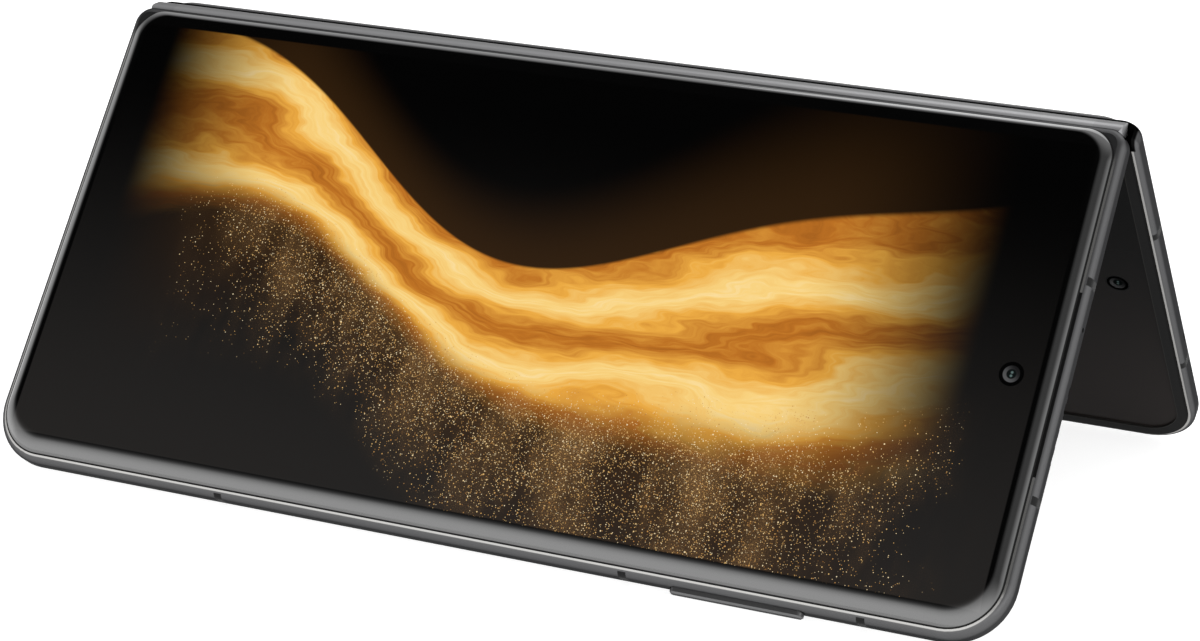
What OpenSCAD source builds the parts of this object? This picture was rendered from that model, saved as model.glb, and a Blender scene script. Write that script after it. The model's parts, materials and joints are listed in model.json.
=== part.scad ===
// Folding smartphone standing as a tent on the free edges of its two halves.
// X runs along the hinge towards the top end of the phone, the outer display faces -Y, +Z is up.
// Each half is drawn flat in its own place (u along X, v from the hinge to the free edge,
// w from the inner display to the outer face) and is then turned about its own hinge axis.

/* [Halves] */
// Length along the hinge
body_l = 156.6; // [150:0.1:164]
// Width of one half, from the middle of the hinge to its free edge
half_w = 73.2; // [70:0.1:78]
// Thickness of one half
half_t = 4.35; // [4.2:0.05:5]
// Corner radius at the free edge
free_corner_r = 8.5; // [6:0.25:11]
// Corner radius beside the hinge
hinge_corner_r = 2.75; // [2.5:0.05:3.5]
// Thickness of the metal rail round each half
rail_t = 2.3; // [2:0.1:2.6]
// Radius of the rail's shoulder, towards the outer face
shoulder_r = 1.44; // [1.2:0.02:1.8]
// Radius of the rail's edge, towards the inner display
foot_r = 0.8; // [0.4:0.05:1]
// Rail that shows round the outer glass
rail_lip = 1.1; // [0.9:0.05:1.3]
// Rail that shows between the outer glass and the hinge
hinge_lip = 0.65; // [0.5:0.05:0.9]
// Thickness of the plate that carries the parts of each half
mid_plate_t = 0.45; // [0.35:0.05:0.6]

/* [Hinge] */
// Angle of each half from the vertical: 0 is closed and 90 is flat open
half_angle = 37.2; // [15:0.1:70]
// Distance between the two turning axes
axis_gap = 1; // [0.8:0.05:1.2]
// Gap between the two frames when closed
closed_gap = 0.5; // [0.4:0.05:0.6]
// Gap between the two frames when open
open_gap = 0.1; // [0.1:0.05:0.4]
// Outer radius of the spine about each axis
spine_r = 2; // [1.9:0.05:2.1]
// Wall of the spine cover
spine_wall = 0.35; // [0.3:0.05:0.4]
// Length of the solid cap at each end of the spine
spine_cap_l = 4; // [3:0.5:6]
// Clearance from the spine to the hollow in each half
spine_clear = 0.48; // [0.35:0.01:0.6]
// Clearance from each end of the spine to the end wall of a half
spine_end_clear = 0.7; // [0.5:0.1:1]
// Thickness of the end walls beside the spine
end_wall_t = 0.8; // [0.6:0.1:1]
// Thickness of the curved hinge arms
arm_t = 0.5; // [0.4:0.02:0.56]
// Width of a hinge arm along the hinge
arm_w = 7; // [5:0.5:9]
// Distance of each arm from the middle of its hinge block
arm_offset = 5.5; // [5:0.25:6.5]
// Length of a hinge block along the hinge
block_l = 22; // [20:1:28]
// Clearance from the outer hinge blocks to the spine's caps
block_end_gap = 7.8; // [2:0.2:12]
// Width of the recess beside the spine, measured from the middle
recess_w = 9.6; // [9:0.1:11]
// How far a support wing tilts between open and closed
wing_tilt = 12; // [8:1:13]
// Width of the flex cable that crosses the hinge
flex_w = 10; // [6:0.5:14]

/* [Glass and displays] */
// Thickness of the outer glass
glass_t = 0.55; // [0.45:0.05:0.6]
// Fall of the outer glass towards its edge
glass_fall = 0.9; // [0.6:0.05:1]
// Corner radius of the outer glass beside the hinge
glass_hinge_r = 4.4; // [3:0.2:4.4]
// Width of the curved glass band at the free edge
free_band = 3.2; // [2:0.1:4]
// Width of the curved glass band at both ends
end_band = 1.9; // [1.5:0.1:3]
// Width of the curved glass band at the hinge
hinge_band = 1.2; // [1:0.1:2]
// Thickness of the outer display panel
panel_t = 0.6; // [0.4:0.05:0.65]
// Thickness of the inner display
inner_display_t = 0.4; // [0.3:0.05:0.45]
// Depth of the inner display below the edge of the frame
inner_display_sink = 0.1; // [0.05:0.05:0.2]
// Height of the inner bezel above the edge of the frame
bezel_rise = 0.2; // [0.1:0.05:0.2]
// Width of the inner bezel
bezel_w = 1.7; // [1.2:0.1:2.2]
// Where the inner bezel starts, from the middle of the hinge
bezel_start = 3; // [2.8:0.1:5]
// Metal edge that shows round the inner bezel
inner_edge = 1; // [0.9:0.05:1.2]

/* [Keys and ports] */
// Top end of the phone to the middle of the volume key
volume_key_in = 36.95; // [30:0.05:44]
// Length of the volume key
volume_key_l = 19.3; // [14:0.1:22]
// Top end of the phone to the middle of the power key
power_key_in = 64.3; // [58:0.1:74]
// Length of the power key
power_key_l = 13; // [9:0.5:15]
// Width of both keys
key_w = 1.6; // [1.2:0.05:1.7]
// Height of the middle of both keys above the inner edge
key_mid = 1.62; // [1.5:0.01:1.7]
// How far the volume key stands out
volume_key_out = 0.75; // [0.5:0.05:0.85]
// How far the power key stands out
power_key_out = 0.35; // [0.3:0.05:0.5]
// Travel of both keys
key_travel = 0.3; // [0.2:0.05:0.4]
// Middle of the charging port from the hinge
port_v = 37; // [30:0.5:44]
// Width of the mouth of the charging port
port_mouth_w = 8.4; // [8.34:0.02:8.6]
// Height of the mouth of the charging port
port_mouth_h = 2.56; // [2.5:0.01:2.58]
// Depth of the charging port
port_depth = 9.2; // [8:0.1:10]
// Length of the SIM tray's cap
tray_cap_l = 14; // [13:0.5:16]
// Middle of the SIM tray from the hinge
tray_v = 38; // [32:0.5:43]
// Radius of the SIM tray's eject hole
eject_r = 0.45; // [0.4:0.05:0.5]
// Width of the antenna bands
band_w = 1.2; // [0.8:0.1:1.6]

/* [Cameras] */
// Outer cameras' deck: length along X
deck_l = 48; // [44:1:54]
// Outer cameras' deck: width
deck_w = 26; // [25:0.5:28]
// Outer cameras' deck: corner radius
deck_corner_r = 9; // [6:0.5:12]
// Height of the deck above the rear glass
deck_h = 2.1; // [1.2:0.1:2.4]
// Top end of the phone to the deck
deck_end_gap = 7.3; // [6:0.1:12]
// Free edge to the deck
deck_edge_gap = 10.2; // [8:0.1:13]
// Radius of the window of each rear camera
lens_r = 6.4; // [5:0.1:6.6]
// Distance along X between the rear cameras
lens_pitch = 14.5; // [13.5:0.1:16]
// Distance across the deck between the rear cameras' two rows
lens_stagger = 9; // [7:0.25:10]
// Small camera in the outer display: distance from the top end
cover_camera_in = 7.1; // [6.5:0.1:9]
// Small camera in the outer display: distance from the hinge
cover_camera_v = 36.9; // [30:0.1:44]
// Small camera in the inner display: distance from the top end
inner_camera_in = 7.5; // [6.5:0.1:9]
// Small camera in the inner display: distance from the hinge
inner_camera_v = 34.4; // [32:0.1:44]
// Radius of the window of both small cameras
small_lens_r = 1.5; // [1.2:0.05:1.8]

/* [Inner parts] */
// Display half: room between the battery and the top end
cover_top_zone = 35; // [33:0.5:44]
// Display half: room between the battery and the bottom end
cover_bottom_zone = 23; // [20:0.5:30]
// Camera half: room between the battery and the top end
camera_top_zone = 67; // [64:0.5:74]
// Camera half: room between the battery and the bottom end
camera_bottom_zone = 25; // [22:0.5:32]
// Clearance between inner parts
part_gap = 1; // [0.6:0.1:1.5]
// Depth of both loudspeakers from their end of the phone
speaker_l = 8.5; // [7:0.5:10]
// Width of the top loudspeaker
speaker_w = 11; // [9:0.5:14]
// Length of the earpiece along X
earpiece_l = 11; // [8:0.5:12]
// Width of the earpiece
earpiece_w = 18; // [14:0.5:20]
// Length of the vibration motor
motor_l = 9; // [7:0.5:10]
// Width of the vibration motor
motor_w = 12; // [9:0.5:13]
// Length of the SIM socket
socket_l = 17.4; // [16:0.2:19]
// Width of the main board
board_w = 19; // [16:0.5:20]
// Outer radius of the charging coil
coil_r = 18; // [15:0.5:19.5]
// Radius of the screws' threads
screw_r = 0.7; // [0.6:0.05:0.8]
// Radius of the small screws in the spine
block_screw_r = 0.4; // [0.3:0.05:0.45]

/* [Hidden] */
$fn = 64;

skin = 0.01;                                   // how far joined solids reach into each other
cut = 1;                                       // how far a cutter runs past a face
fit = 0.05;                                    // gap between two pieces that are fitted together
end_u = body_l / 2;
axis_v = axis_gap / 2;                         // each turning axis in its own half
axis_w = axis_v - closed_gap / 2;
v0 = open_gap / 2;                             // hinge side of a half
channel_r = spine_r + spine_clear;             // hollow round the spine
rest_turn = half_angle - 90;                   // turn of the camera half from flat open
sin_h = sin(half_angle);
cos_h = cos(half_angle);

// levels through a half
inner_stack = inner_display_sink + inner_display_t;
plate_top = inner_stack + mid_plate_t;
recess_floor = 2.3;                            // underside of the hinge plate
glass_split = half_t - glass_fall;             // edge of the outer glass on the rail
glass_seat = glass_split - 0.35;               // ledge under the outer glass
side_mid = glass_split - sqrt(shoulder_r * shoulder_r - pow(shoulder_r - rail_lip, 2));
room_top = glass_seat - fit;                   // highest point of the inner parts
panel_top = half_t - glass_t - fit;

// walls along and across a half
glass_inset = rail_lip + fit;
glass_rim = 3;                                 // solid border of the outer glass
web_t = 0.8;                                   // wall between the hinge recess and the inner parts
spine_end = end_u - end_wall_t - spine_end_clear;
channel_end = end_u - end_wall_t;
recess_end = end_u - inner_edge - bezel_w;
room_u = end_u - rail_t;                       // inner faces of the rails and of the web
room_low = recess_w + web_t;
room_high = half_w - rail_t;
plate_inset = rail_t - 0.3;                    // the plate reaches into the rails

band_depth = 0.6;                              // antenna bands
end_band_places = [22.2, 53];
edge_band_places = [end_u - 19.1, end_u - 53.5, 39.6 - end_u];

key_r = key_w / 2;
key_slot_gap = 0.1;
key_edge = 0.25;                               // chamfer of the key's front
key_depth = rail_t + 0.1;                      // the key's inner end, from the free edge
flange_t = 0.4;                                // flange that keeps the key in
dome_h = 0.05;                                 // switches behind the key and the strip that carries them
switch_t = 0.15;
dome_v = half_w - key_depth - flange_t - key_travel - key_slot_gap;
switch_v = dome_v - dome_h - switch_t;
key_low_v = half_w + volume_key_out - key_edge;
// height of the axes above the surface that the two free edges and the volume key stand on
rail_reach = (half_w - foot_r - axis_v) * cos_h - (foot_r - axis_w) * sin_h + foot_r;
key_reach = (key_low_v - axis_v) * cos_h - (key_mid - key_r - axis_w) * sin_h;
axis_z = max(rail_reach, key_reach);

// ---- placing ----
module camera_side() {
    translate([0, axis_v, axis_z]) rotate([rest_turn, 0, 0]) translate([0, -axis_v, -axis_w]) children();
}
module cover_side() {
    mirror([0, 1, 0]) camera_side() children();
}
module spine_place() {
    translate([0, 0, axis_z]) children();
}
// place of a point of the camera half beside the axes, in the plane across the hinge
function at_rest(v, w) = [
    axis_v + (v - axis_v) * sin_h + (w - axis_w) * cos_h,
    (w - axis_w) * sin_h - (v - axis_v) * cos_h
];
// a section in the plane across the hinge, drawn out along X
module along_x(x0, x1) {
    translate([x0, 0, 0]) rotate([90, 0, 90]) linear_extrude(x1 - x0) children();
}
// a section seen along v (x is X, y is w), drawn out along v
module along_v(from_v, to_v) {
    translate([0, to_v, 0]) rotate([90, 0, 0]) linear_extrude(to_v - from_v) children();
}
module box(x0, x1, y0, y1, z0, z1) {
    translate([x0, y0, z0]) cube([x1 - x0, y1 - y0, z1 - z0]);
}
// inner part that stands on the plate: u and v of its first corner, length, width, top
module part_box(u, v, length, width, top) {
    box(u, u + length, v, v + width, plate_top, top);
}
module both_ends() {
    children();
    mirror([1, 0, 0]) children();
}

// ---- outline of a half ----
// round corners of a plan, each side drawn in by its own amount
module plan_corners(end_in, hinge_in, free_in, hinge_r, free_r) {
    for (side = [-1, 1]) {
        translate([side * (end_u - end_in - free_r), half_w - free_in - free_r]) circle(free_r);
        translate([side * (end_u - end_in - hinge_r), v0 + hinge_in + hinge_r]) circle(hinge_r);
    }
}
// the whole plan with those corners
module plan(end_in, hinge_in, free_in, hinge_r, free_r) {
    far_u = end_u - end_in;
    low = v0 + hinge_in;
    high = half_w - free_in;
    plan_corners(end_in, hinge_in, free_in, hinge_r, free_r);
    polygon([[hinge_r - far_u, low], [far_u - hinge_r, low], [far_u, low + hinge_r], [far_u, high - free_r],
        [far_u - free_r, high], [free_r - far_u, high], [-far_u, high - free_r], [-far_u, low + hinge_r]]);
}
// plan of a half, drawn in by the same amount all round
module outline(inset = 0) {
    plan(inset, inset, inset, max(hinge_corner_r - inset, 0.3), max(free_corner_r - inset, 0.3));
}
// a section (x inwards from the outline, y = w) swept round the plan of a half
module round_outline() {
    both_ends() {
        translate([end_u - free_corner_r, half_w - free_corner_r, 0])
            rotate_extrude(angle = 90) translate([free_corner_r, 0]) mirror([1, 0]) children();
        translate([end_u - hinge_corner_r, v0 + hinge_corner_r, 0])
            rotate([0, 0, -90]) rotate_extrude(angle = 90)
                translate([hinge_corner_r, 0]) mirror([1, 0]) children();
        along_v(v0 + hinge_corner_r, half_w - free_corner_r)
            translate([end_u, 0]) mirror([1, 0]) children();
    }
    along_x(free_corner_r - end_u, end_u - free_corner_r)
        translate([half_w, 0]) mirror([1, 0]) children();
    along_x(hinge_corner_r - end_u, end_u - hinge_corner_r)
        translate([v0, 0]) children();
}
// outer form of the metal rail: soft shoulder towards the glass, small radius towards the inside
module rail_profile() {
    intersection() {
        union() {
            translate([shoulder_r, side_mid]) circle(shoulder_r);
            translate([foot_r, foot_r]) circle(foot_r);
            translate([0, foot_r]) square([rail_t, side_mid - foot_r]);
            translate([foot_r, 0]) square([rail_t - foot_r, side_mid]);
            translate([shoulder_r, side_mid]) square([rail_t - shoulder_r, shoulder_r]);
        }
        square([rail_t, glass_split]);
    }
}
// the rail with the step that takes the inner bezel
module rail_section() {
    difference() {
        rail_profile();
        translate([inner_edge, -cut]) square([rail_t, cut + inner_stack]);
    }
}
// part of the plan of a half beyond a given distance from the hinge
module plan_beyond(from_v, inset) {
    intersection() {
        outline(inset);
        translate([-body_l, from_v]) square([2 * body_l, half_w]);
    }
}
module plan_before(to_v, inset) {
    difference() {
        outline(inset);
        translate([-body_l, to_v]) square([2 * body_l, half_w]);
    }
}
module slab(low, high) {
    translate([0, 0, low]) linear_extrude(high - low) children();
}
// hollow for the spine, with the recess for the arms and support wings beside it
module hinge_hollow() {
    along_x(-channel_end, channel_end) translate([axis_v, axis_w]) circle(channel_r);
    box(-channel_end, channel_end, axis_v, axis_v + channel_r, -cut, axis_w);
    box(-recess_end, recess_end, axis_v, recess_w, -cut, recess_floor);
}
module antenna_cuts() {
    both_ends() for (v = end_band_places)
        box(end_u - band_depth, end_u + cut, v - band_w / 2, v + band_w / 2, -cut, half_t);
    for (u = edge_band_places)
        box(u - band_w / 2, u + band_w / 2, half_w - band_depth, half_w + cut, -cut, half_t);
}
module antenna_bands() {
    both_ends() for (v = end_band_places)
        along_v(v - band_w / 2, v + band_w / 2) translate([end_u, 0]) mirror([1, 0]) band_section();
    for (u = edge_band_places)
        along_x(u - band_w / 2, u + band_w / 2) translate([half_w, 0]) mirror([1, 0]) band_section();
}
module band_section() {
    intersection() {
        rail_section();
        square([band_depth, half_t]);
    }
}
// blocks beside the recess that hold the pins of the support wings
module wing_blocks() {
    both_ends() {
        box(recess_end - skin, end_u - inner_edge, axis_v + channel_r, fold_edge, inner_display_sink,
            inner_stack);
        box(recess_end - skin, end_u - inner_edge, axis_v + channel_r, room_low, inner_stack - skin,
            recess_floor + skin);
    }
}
// bare frame of a half: rail, plate, hinge plate and web, without its own openings
module half_frame() {
    difference() {
        union() {
            round_outline() rail_section();
            wing_blocks();
            slab(inner_stack, plate_top) plan_beyond(recess_w, plate_inset);
            slab(inner_stack, room_top) intersection() {
                outline(plate_inset);
                translate([-body_l, recess_w]) square([2 * body_l, web_t]);
            }
            slab(recess_floor, room_top) plan_before(recess_w + web_t / 2, plate_inset);
        }
        slab(glass_seat, half_t)
            plan(rail_lip, hinge_lip, rail_lip, glass_hinge_r + fit, free_corner_r - rail_lip);
        hinge_hollow();
        antenna_cuts();
        wing_pin_holes();
        box(flex_x - flex_w / 2 - 0.3, flex_x + flex_w / 2 + 0.3, recess_w - cut, room_low + cut,
            flex_level - 0.2, flex_level + 0.2);
    }
}
// slot with round ends
module slot(length, width, depth) {
    for (side = [-1, 1]) translate([side * (length - width) / 2, 0, 0]) cylinder(d = width, h = depth);
    translate([-(length - width) / 2, -width / 2, 0]) cube([length - width, width, depth]);
}
// round hole from an end of a half, at a distance v from the hinge
module end_hole(side, v, w, r, depth) {
    translate([side * (end_u + cut), v, w]) rotate([0, -90 * side, 0]) cylinder(r = r, h = depth + cut);
}
module free_edge_slot(u, w, length, width, depth) {
    translate([u, half_w + cut, w]) rotate([90, 0, 0]) slot(length, width, depth + cut);
}
module top_end_slot(v, w, length, width, depth) {
    translate([end_u + cut, v, w]) rotate([0, -90, 0]) rotate([0, 0, 90]) slot(length, width, depth + cut);
}
module bottom_end_slot(v, w, length, width, depth) {
    mirror([1, 0, 0]) top_end_slot(v, w, length, width, depth);
}

// ---- outer glass ----
glass_layers = 6;
glass_corner_loss = 1.5;                       // how much smaller the free corners are on the flat
// corners of the glass, where t runs from 0 at its edge to 1 where it is flat
module glass_corners(t) {
    plan_corners(glass_inset + end_band * t, hinge_lip + fit + hinge_band * t, glass_inset + free_band * t,
        glass_hinge_r - 0.4 * t, free_corner_r - glass_inset - glass_corner_loss * t, $fn = 48);
}
// rim below the curve, then layers that follow a parabola up to the flat face
module outer_glass() {
    hull() {
        for (i = [0 : glass_layers]) {
            t = i / glass_layers;
            rise = glass_fall * (1 - pow(1 - t, 2));
            translate([0, 0, glass_split + rise - skin]) linear_extrude(skin) glass_corners(t);
        }
        translate([0, 0, glass_seat]) linear_extrude(skin) glass_corners(0);
    }
}
module glass_shell() {
    difference() {
        outer_glass();
        slab(glass_seat - cut, half_t - glass_t) outline(glass_rim);
    }
}

// ---- spine ----
block_pitch = spine_end - spine_cap_l - block_end_gap - block_l / 2;
block_places = [block_pitch, 0, -block_pitch];
arm_gap = 0.1;                                 // clearance beside and outside an arm
trough_r = spine_r - spine_wall;
arm_outer = trough_r - arm_gap;
arm_inner = arm_outer - arm_t;
core_r = arm_inner - fit;
block_low = inner_stack - axis_w + fit;
block_screw_in = 1;                            // the block's end to its screw
leaf_low = inner_stack + fit;                  // the arm's flat leaf, in its half
leaf_top = leaf_low + 0.4;
slot_top = leaf_top - axis_w + arm_gap;        // top of the slots that the leaves swing through
spine_box = axis_v + spine_r + cut;            // larger than half the spine across

// stadium round both axes, seen along the hinge
module stadium(r) {
    for (side = [-1, 1]) translate([side * axis_v, 0]) circle(r);
    translate([-axis_v, -r]) square([axis_gap, 2 * r]);
}
module above(z) {
    translate([-spine_box, z]) square([2 * spine_box, spine_box]);
}
module spine_section() {
    intersection() {
        difference() {
            stadium(spine_r);
            stadium(trough_r);
        }
        above(0);
    }
}
// rounded plan of the spine
module spine_plan() {
    r = 1.4;
    half_y = axis_v + spine_r;
    for (side = [-1, 1], across = [-1, 1])
        translate([side * (spine_end - r), across * (half_y - r), 0])
            cylinder(r = r, h = 2 * spine_box, center = true);
    box(r - spine_end, spine_end - r, -half_y, half_y, -spine_box, spine_box);
    box(-spine_end, spine_end, r - half_y, half_y - r, -spine_box, spine_box);
}
// slots through the spine's wall for the leaves of the arms on the +Y side
module leaf_slots(side) {
    for (x = block_places)
        box(x + side * arm_offset - arm_w / 2 - arm_gap, x + side * arm_offset + arm_w / 2 + arm_gap,
            axis_v + core_r, spine_box, -cut, slot_top);
}
module spine_cover() {
    color("dimgray") spine_place() difference() {
        along_x(spine_cap_l - spine_end, spine_end - spine_cap_l) spine_section();
        leaf_slots(1);
        mirror([0, 1, 0]) leaf_slots(-1);
    }
}
module spine_end_caps() {
    color("gray") spine_place() intersection() {
        both_ends() along_x(spine_end - spine_cap_l, spine_end) intersection() {
            stadium(spine_r);
            above(0);
        }
        spine_plan();
    }
}
// block with the two curved slots that an arm from each half turns in
module hinge_block(x) {
    color("silver") spine_place() difference() {
        along_x(x - block_l / 2, x + block_l / 2) intersection() {
            stadium(trough_r - 0.02);
            above(block_low);
        }
        arm_slot(x + arm_offset);
        mirror([0, 1, 0]) arm_slot(x - arm_offset);
        block_screw_places(x) translate([0, 0, -cut]) cylinder(r = block_screw_r, h = spine_box);
    }
}
module arm_slot(x) {
    x0 = x - arm_w / 2 - arm_gap;
    x1 = x + arm_w / 2 + arm_gap;
    along_x(x0, x1) translate([axis_v, 0]) difference() {
        circle(trough_r + 0.02);
        circle(core_r);
    }
    box(x0, x1, axis_v + core_r, spine_box, -cut, slot_top);
}
module block_screw_places(x) {
    for (side = [-1, 1]) translate([x + side * (block_l / 2 - block_screw_in), 0, 0]) children();
}
module hinge_block_top() { hinge_block(block_places[0]); }
module hinge_block_middle() { hinge_block(block_places[1]); }
module hinge_block_bottom() { hinge_block(block_places[2]); }
module hinge_block_screws() {
    color("silver") spine_place() for (x = block_places) block_screw_places(x)
        translate([0, 0, block_low]) cylinder(r = block_screw_r - 0.02, h = trough_r - block_low - fit);
}

// ---- hinge arms ----
arm_foot_v = 4.6;                              // the foot, screwed under the hinge plate
arm_end_v = recess_w - 0.3;
foot_low = 1.6;
arm_screw_in = 1.6;                            // side of the arm to its screw
guide_start = 30;                              // angle where the curved guide ends
// section of an arm in its half: curved guide round the axis, then leaf, slope and foot
module arm_section() {
    reach = 2 * spine_r;
    translate([axis_v, axis_w]) intersection() {
        difference() {
            circle(arm_outer);
            circle(arm_inner);
        }
        union() {
            translate([0, leaf_low - axis_w]) square(reach);
            polygon([[0, 0], [0, reach], [-reach, reach], [-reach, reach * tan(guide_start)]]);
        }
    }
    root_v = axis_v + arm_inner * 0.95;
    polygon([[root_v, leaf_low], [3.3, leaf_low], [arm_foot_v + 0.3, foot_low], [arm_end_v, foot_low],
        [arm_end_v, recess_floor], [arm_foot_v - 0.3, recess_floor], [2.9, leaf_top], [root_v, leaf_top]]);
}
module hinge_arm(x) {
    color("silver") difference() {
        along_x(x - arm_w / 2, x + arm_w / 2) arm_section();
        arm_screw_places(x) cylinder(r = screw_r, h = recess_floor + cut);
    }
}
module arm_screw_places(x) {
    for (side = [-1, 1])
        translate([x + side * (arm_w / 2 - arm_screw_in), (arm_foot_v + arm_end_v) / 2 + 0.4, 0]) children();
}
// screws that hold the feet of the arms to the hinge plate
module arm_screws(side) {
    for (x = block_places) arm_screw_places(x + side * arm_offset) translate([0, 0, foot_low])
        cylinder(r = screw_r - 0.02, h = recess_floor - foot_low);
}
module cover_hinge_arm(x) { cover_side() hinge_arm(x - arm_offset); }
module camera_hinge_arm(x) { camera_side() hinge_arm(x + arm_offset); }
module cover_hinge_arm_top() { cover_hinge_arm(block_places[0]); }
module cover_hinge_arm_middle() { cover_hinge_arm(block_places[1]); }
module cover_hinge_arm_bottom() { cover_hinge_arm(block_places[2]); }
module camera_hinge_arm_top() { camera_hinge_arm(block_places[0]); }
module camera_hinge_arm_middle() { camera_hinge_arm(block_places[1]); }
module camera_hinge_arm_bottom() { camera_hinge_arm(block_places[2]); }

// ---- support wings under the folding part of the display ----
wing_t = 0.4;
wing_low = inner_stack + fit;
wing_pivot_v = recess_w - 0.45;
wing_pivot_w = wing_low + wing_t / 2;
wing_start = 3.4;
wing_notch_v = 6.4;                            // the wing is cut away up to here round arms and flex
wing_notch_gap = 0.4;
wing_end_gap = 0.3;
wing_pin_l = 4;
wing_rest = wing_tilt * (90 - half_angle) / 90;
module wing_notch(x, width) {
    box(x - width / 2 - wing_notch_gap, x + width / 2 + wing_notch_gap, wing_start - cut, wing_notch_v,
        wing_low - cut, wing_low + cut);
}
module support_wing(side) {
    translate([0, wing_pivot_v, wing_pivot_w]) rotate([-wing_rest, 0, 0])
        translate([0, -wing_pivot_v, -wing_pivot_w]) difference() {
            union() {
                box(wing_end_gap - recess_end, recess_end - wing_end_gap, wing_start, wing_pivot_v,
                    wing_low, wing_low + wing_t);
                both_ends() along_x(recess_end - wing_pin_l, recess_end + wing_t)
                    translate([wing_pivot_v, wing_pivot_w]) circle(wing_t / 2);
            }
            for (x = block_places) wing_notch(x + side * arm_offset, arm_w);
            wing_notch(flex_x, flex_w);
        }
}
module wing_pin_holes() {
    both_ends() along_x(recess_end - cut, recess_end + wing_t + 0.2)
        translate([wing_pivot_v, wing_pivot_w]) circle(wing_t / 2 + fit);
}
module cover_support_wing() { color("lightgray") cover_side() support_wing(-1); }
module camera_support_wing() { color("lightgray") camera_side() support_wing(1); }

// ---- pieces that bend at the hinge ----
fold_r = 1.5;                                  // inner radius of the display's fold in the tent
fold_edge = wing_pivot_v + fit;
fold_start_v = (fold_r * (1 + cos_h) - (inner_display_sink - axis_w) * cos_h - axis_v) / sin_h + axis_v;
fold_centre_z = at_rest(fold_start_v, inner_display_sink - fold_r)[1];
fold_end = recess_end - 0.1;
module inner_display_fold() {
    reach = 6 * fold_r;
    color([0.12, 0.12, 0.13]) {
        cover_side() fold_flat();
        camera_side() fold_flat();
        spine_place() translate([0, 0, fold_centre_z]) along_x(-fold_end, fold_end) intersection() {
            difference() {
                circle(fold_r + inner_display_t);
                circle(fold_r);
            }
            polygon([[0, 0], [reach * cos_h, reach * sin_h], [reach * cos_h, 2 * reach],
                [-reach * cos_h, 2 * reach], [-reach * cos_h, reach * sin_h]]);
        }
    }
}
module fold_flat() {
    box(-fold_end, fold_end, fold_start_v, fold_edge, inner_display_sink, inner_stack);
}
flex_x = block_pitch / 2;
flex_t = 0.12;
flex_level = 1.9;                              // height of the flex where it passes through the web
flex_end_v = room_low + 1;
// the flex runs from one half to the other through the spine
module flex_half_section() {
    line = [[-skin, 0.75], [1, 0.6], [1.6, -0.3], [2.4, -0.75],
        at_rest(recess_w - 1.4, flex_level), at_rest(flex_end_v, flex_level)];
    last = len(line) - 1;
    under = [for (i = [last : -1 : 0]) line[i] - [i == 0 ? 0 : flex_t * 0.7, flex_t]];
    polygon(concat(line, under));
}
module hinge_flex_cable() {
    color("darkorange") spine_place() along_x(flex_x - flex_w / 2, flex_x + flex_w / 2) {
        flex_half_section();
        mirror([1, 0]) flex_half_section();
    }
}

// ---- parts that both halves have ----
module bezel() {
    slab(-bezel_rise, inner_display_sink) difference() {
        plan_beyond(bezel_start, inner_edge + fit);
        outline(inner_edge + bezel_w);
    }
}
module flat_display() {
    slab(inner_display_sink, inner_stack) plan_beyond(fold_edge + 0.02, inner_edge + fit);
}
// small camera: wide base and narrow barrel with a sunk window
small_camera_r = small_lens_r + 0.6;
module small_camera(x, v, from_w, to_w) {
    translate([x, v, from_w]) {
        cylinder(r = small_camera_r, h = (to_w - from_w) * 0.55);
        difference() {
            cylinder(r = small_lens_r, h = to_w - from_w);
            translate([0, 0, to_w - from_w - 0.1]) cylinder(r = small_lens_r * 0.6, h = cut);
        }
    }
}
screw_l = 1.2;
screw_head_r = 1.2;
screw_head_h = 0.45;
module plate_screws(places) {
    for (p = places) translate([p[0], p[1], plate_top]) {
        cylinder(r = screw_r, h = screw_l);
        translate([0, 0, screw_l]) difference() {
            cylinder(r = screw_head_r, h = screw_head_h);
            translate([0, 0, screw_head_h / 2]) cylinder(r = screw_r * 0.7, h = cut, $fn = 6);
        }
    }
}
module key(x, length, out) {
    translate([x, half_w + out - key_edge, key_mid]) rotate([90, 0, 0])
        slot(length, key_w, out - key_edge + key_depth);
    // chamfered front
    translate([x, half_w + out, key_mid]) rotate([90, 0, 0]) {
        for (side = [-1, 1]) translate([side * (length - key_w) / 2, 0, 0])
            cylinder(r1 = key_r - key_edge, r2 = key_r, h = key_edge + skin);
        rotate([90, 0, 90]) translate([0, 0, -(length - key_w) / 2]) linear_extrude(length - key_w)
            polygon([[key_edge - key_r, 0], [key_r - key_edge, 0],
                [key_r, key_edge + skin], [-key_r, key_edge + skin]]);
    }
    // flange that keeps the key in
    box(x - length / 2 - 1, x + length / 2 + 1, half_w - key_depth - flange_t, half_w - key_depth + skin,
        key_mid - key_r + 0.15, key_mid + key_r);
}
module key_slot(x, length) {
    free_edge_slot(x, key_mid, length + 2 * key_slot_gap, key_w + 2 * key_slot_gap,
        key_depth + key_travel + key_slot_gap);
}
// strip with two dome switches behind a key
module switch_flex(x, length) {
    box(x - length / 2, x + length / 2, switch_v, switch_v + switch_t, plate_top, plate_top + 1.8);
    for (side = [-1, 1]) translate([x + side * length / 4, switch_v + switch_t, key_mid])
        rotate([-90, 0, 0]) cylinder(r = 0.65, h = dome_h);
}

// ---- half with the outer display ----
volume_key_x = end_u - volume_key_in;
cover_camera_x = end_u - cover_camera_in;
speaker_places = [37, 39.3, 41.6, 44, 46.4];   // sound slots in the top end rail
mic_place = 28.5;
mic_r = 0.35;
earpiece_mid = 37;
earpiece_slit_l = 26;
slit_w = 0.35;
cover_battery_from = cover_bottom_zone - room_u;
cover_battery_to = room_u - cover_top_zone;
battery_v = room_low + 1.6;
battery_w = room_high - 3.9 - battery_v;
battery_top = room_top - 0.1;
top_parts_u = room_u - part_gap - speaker_l;   // inner side of the top loudspeaker

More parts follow.
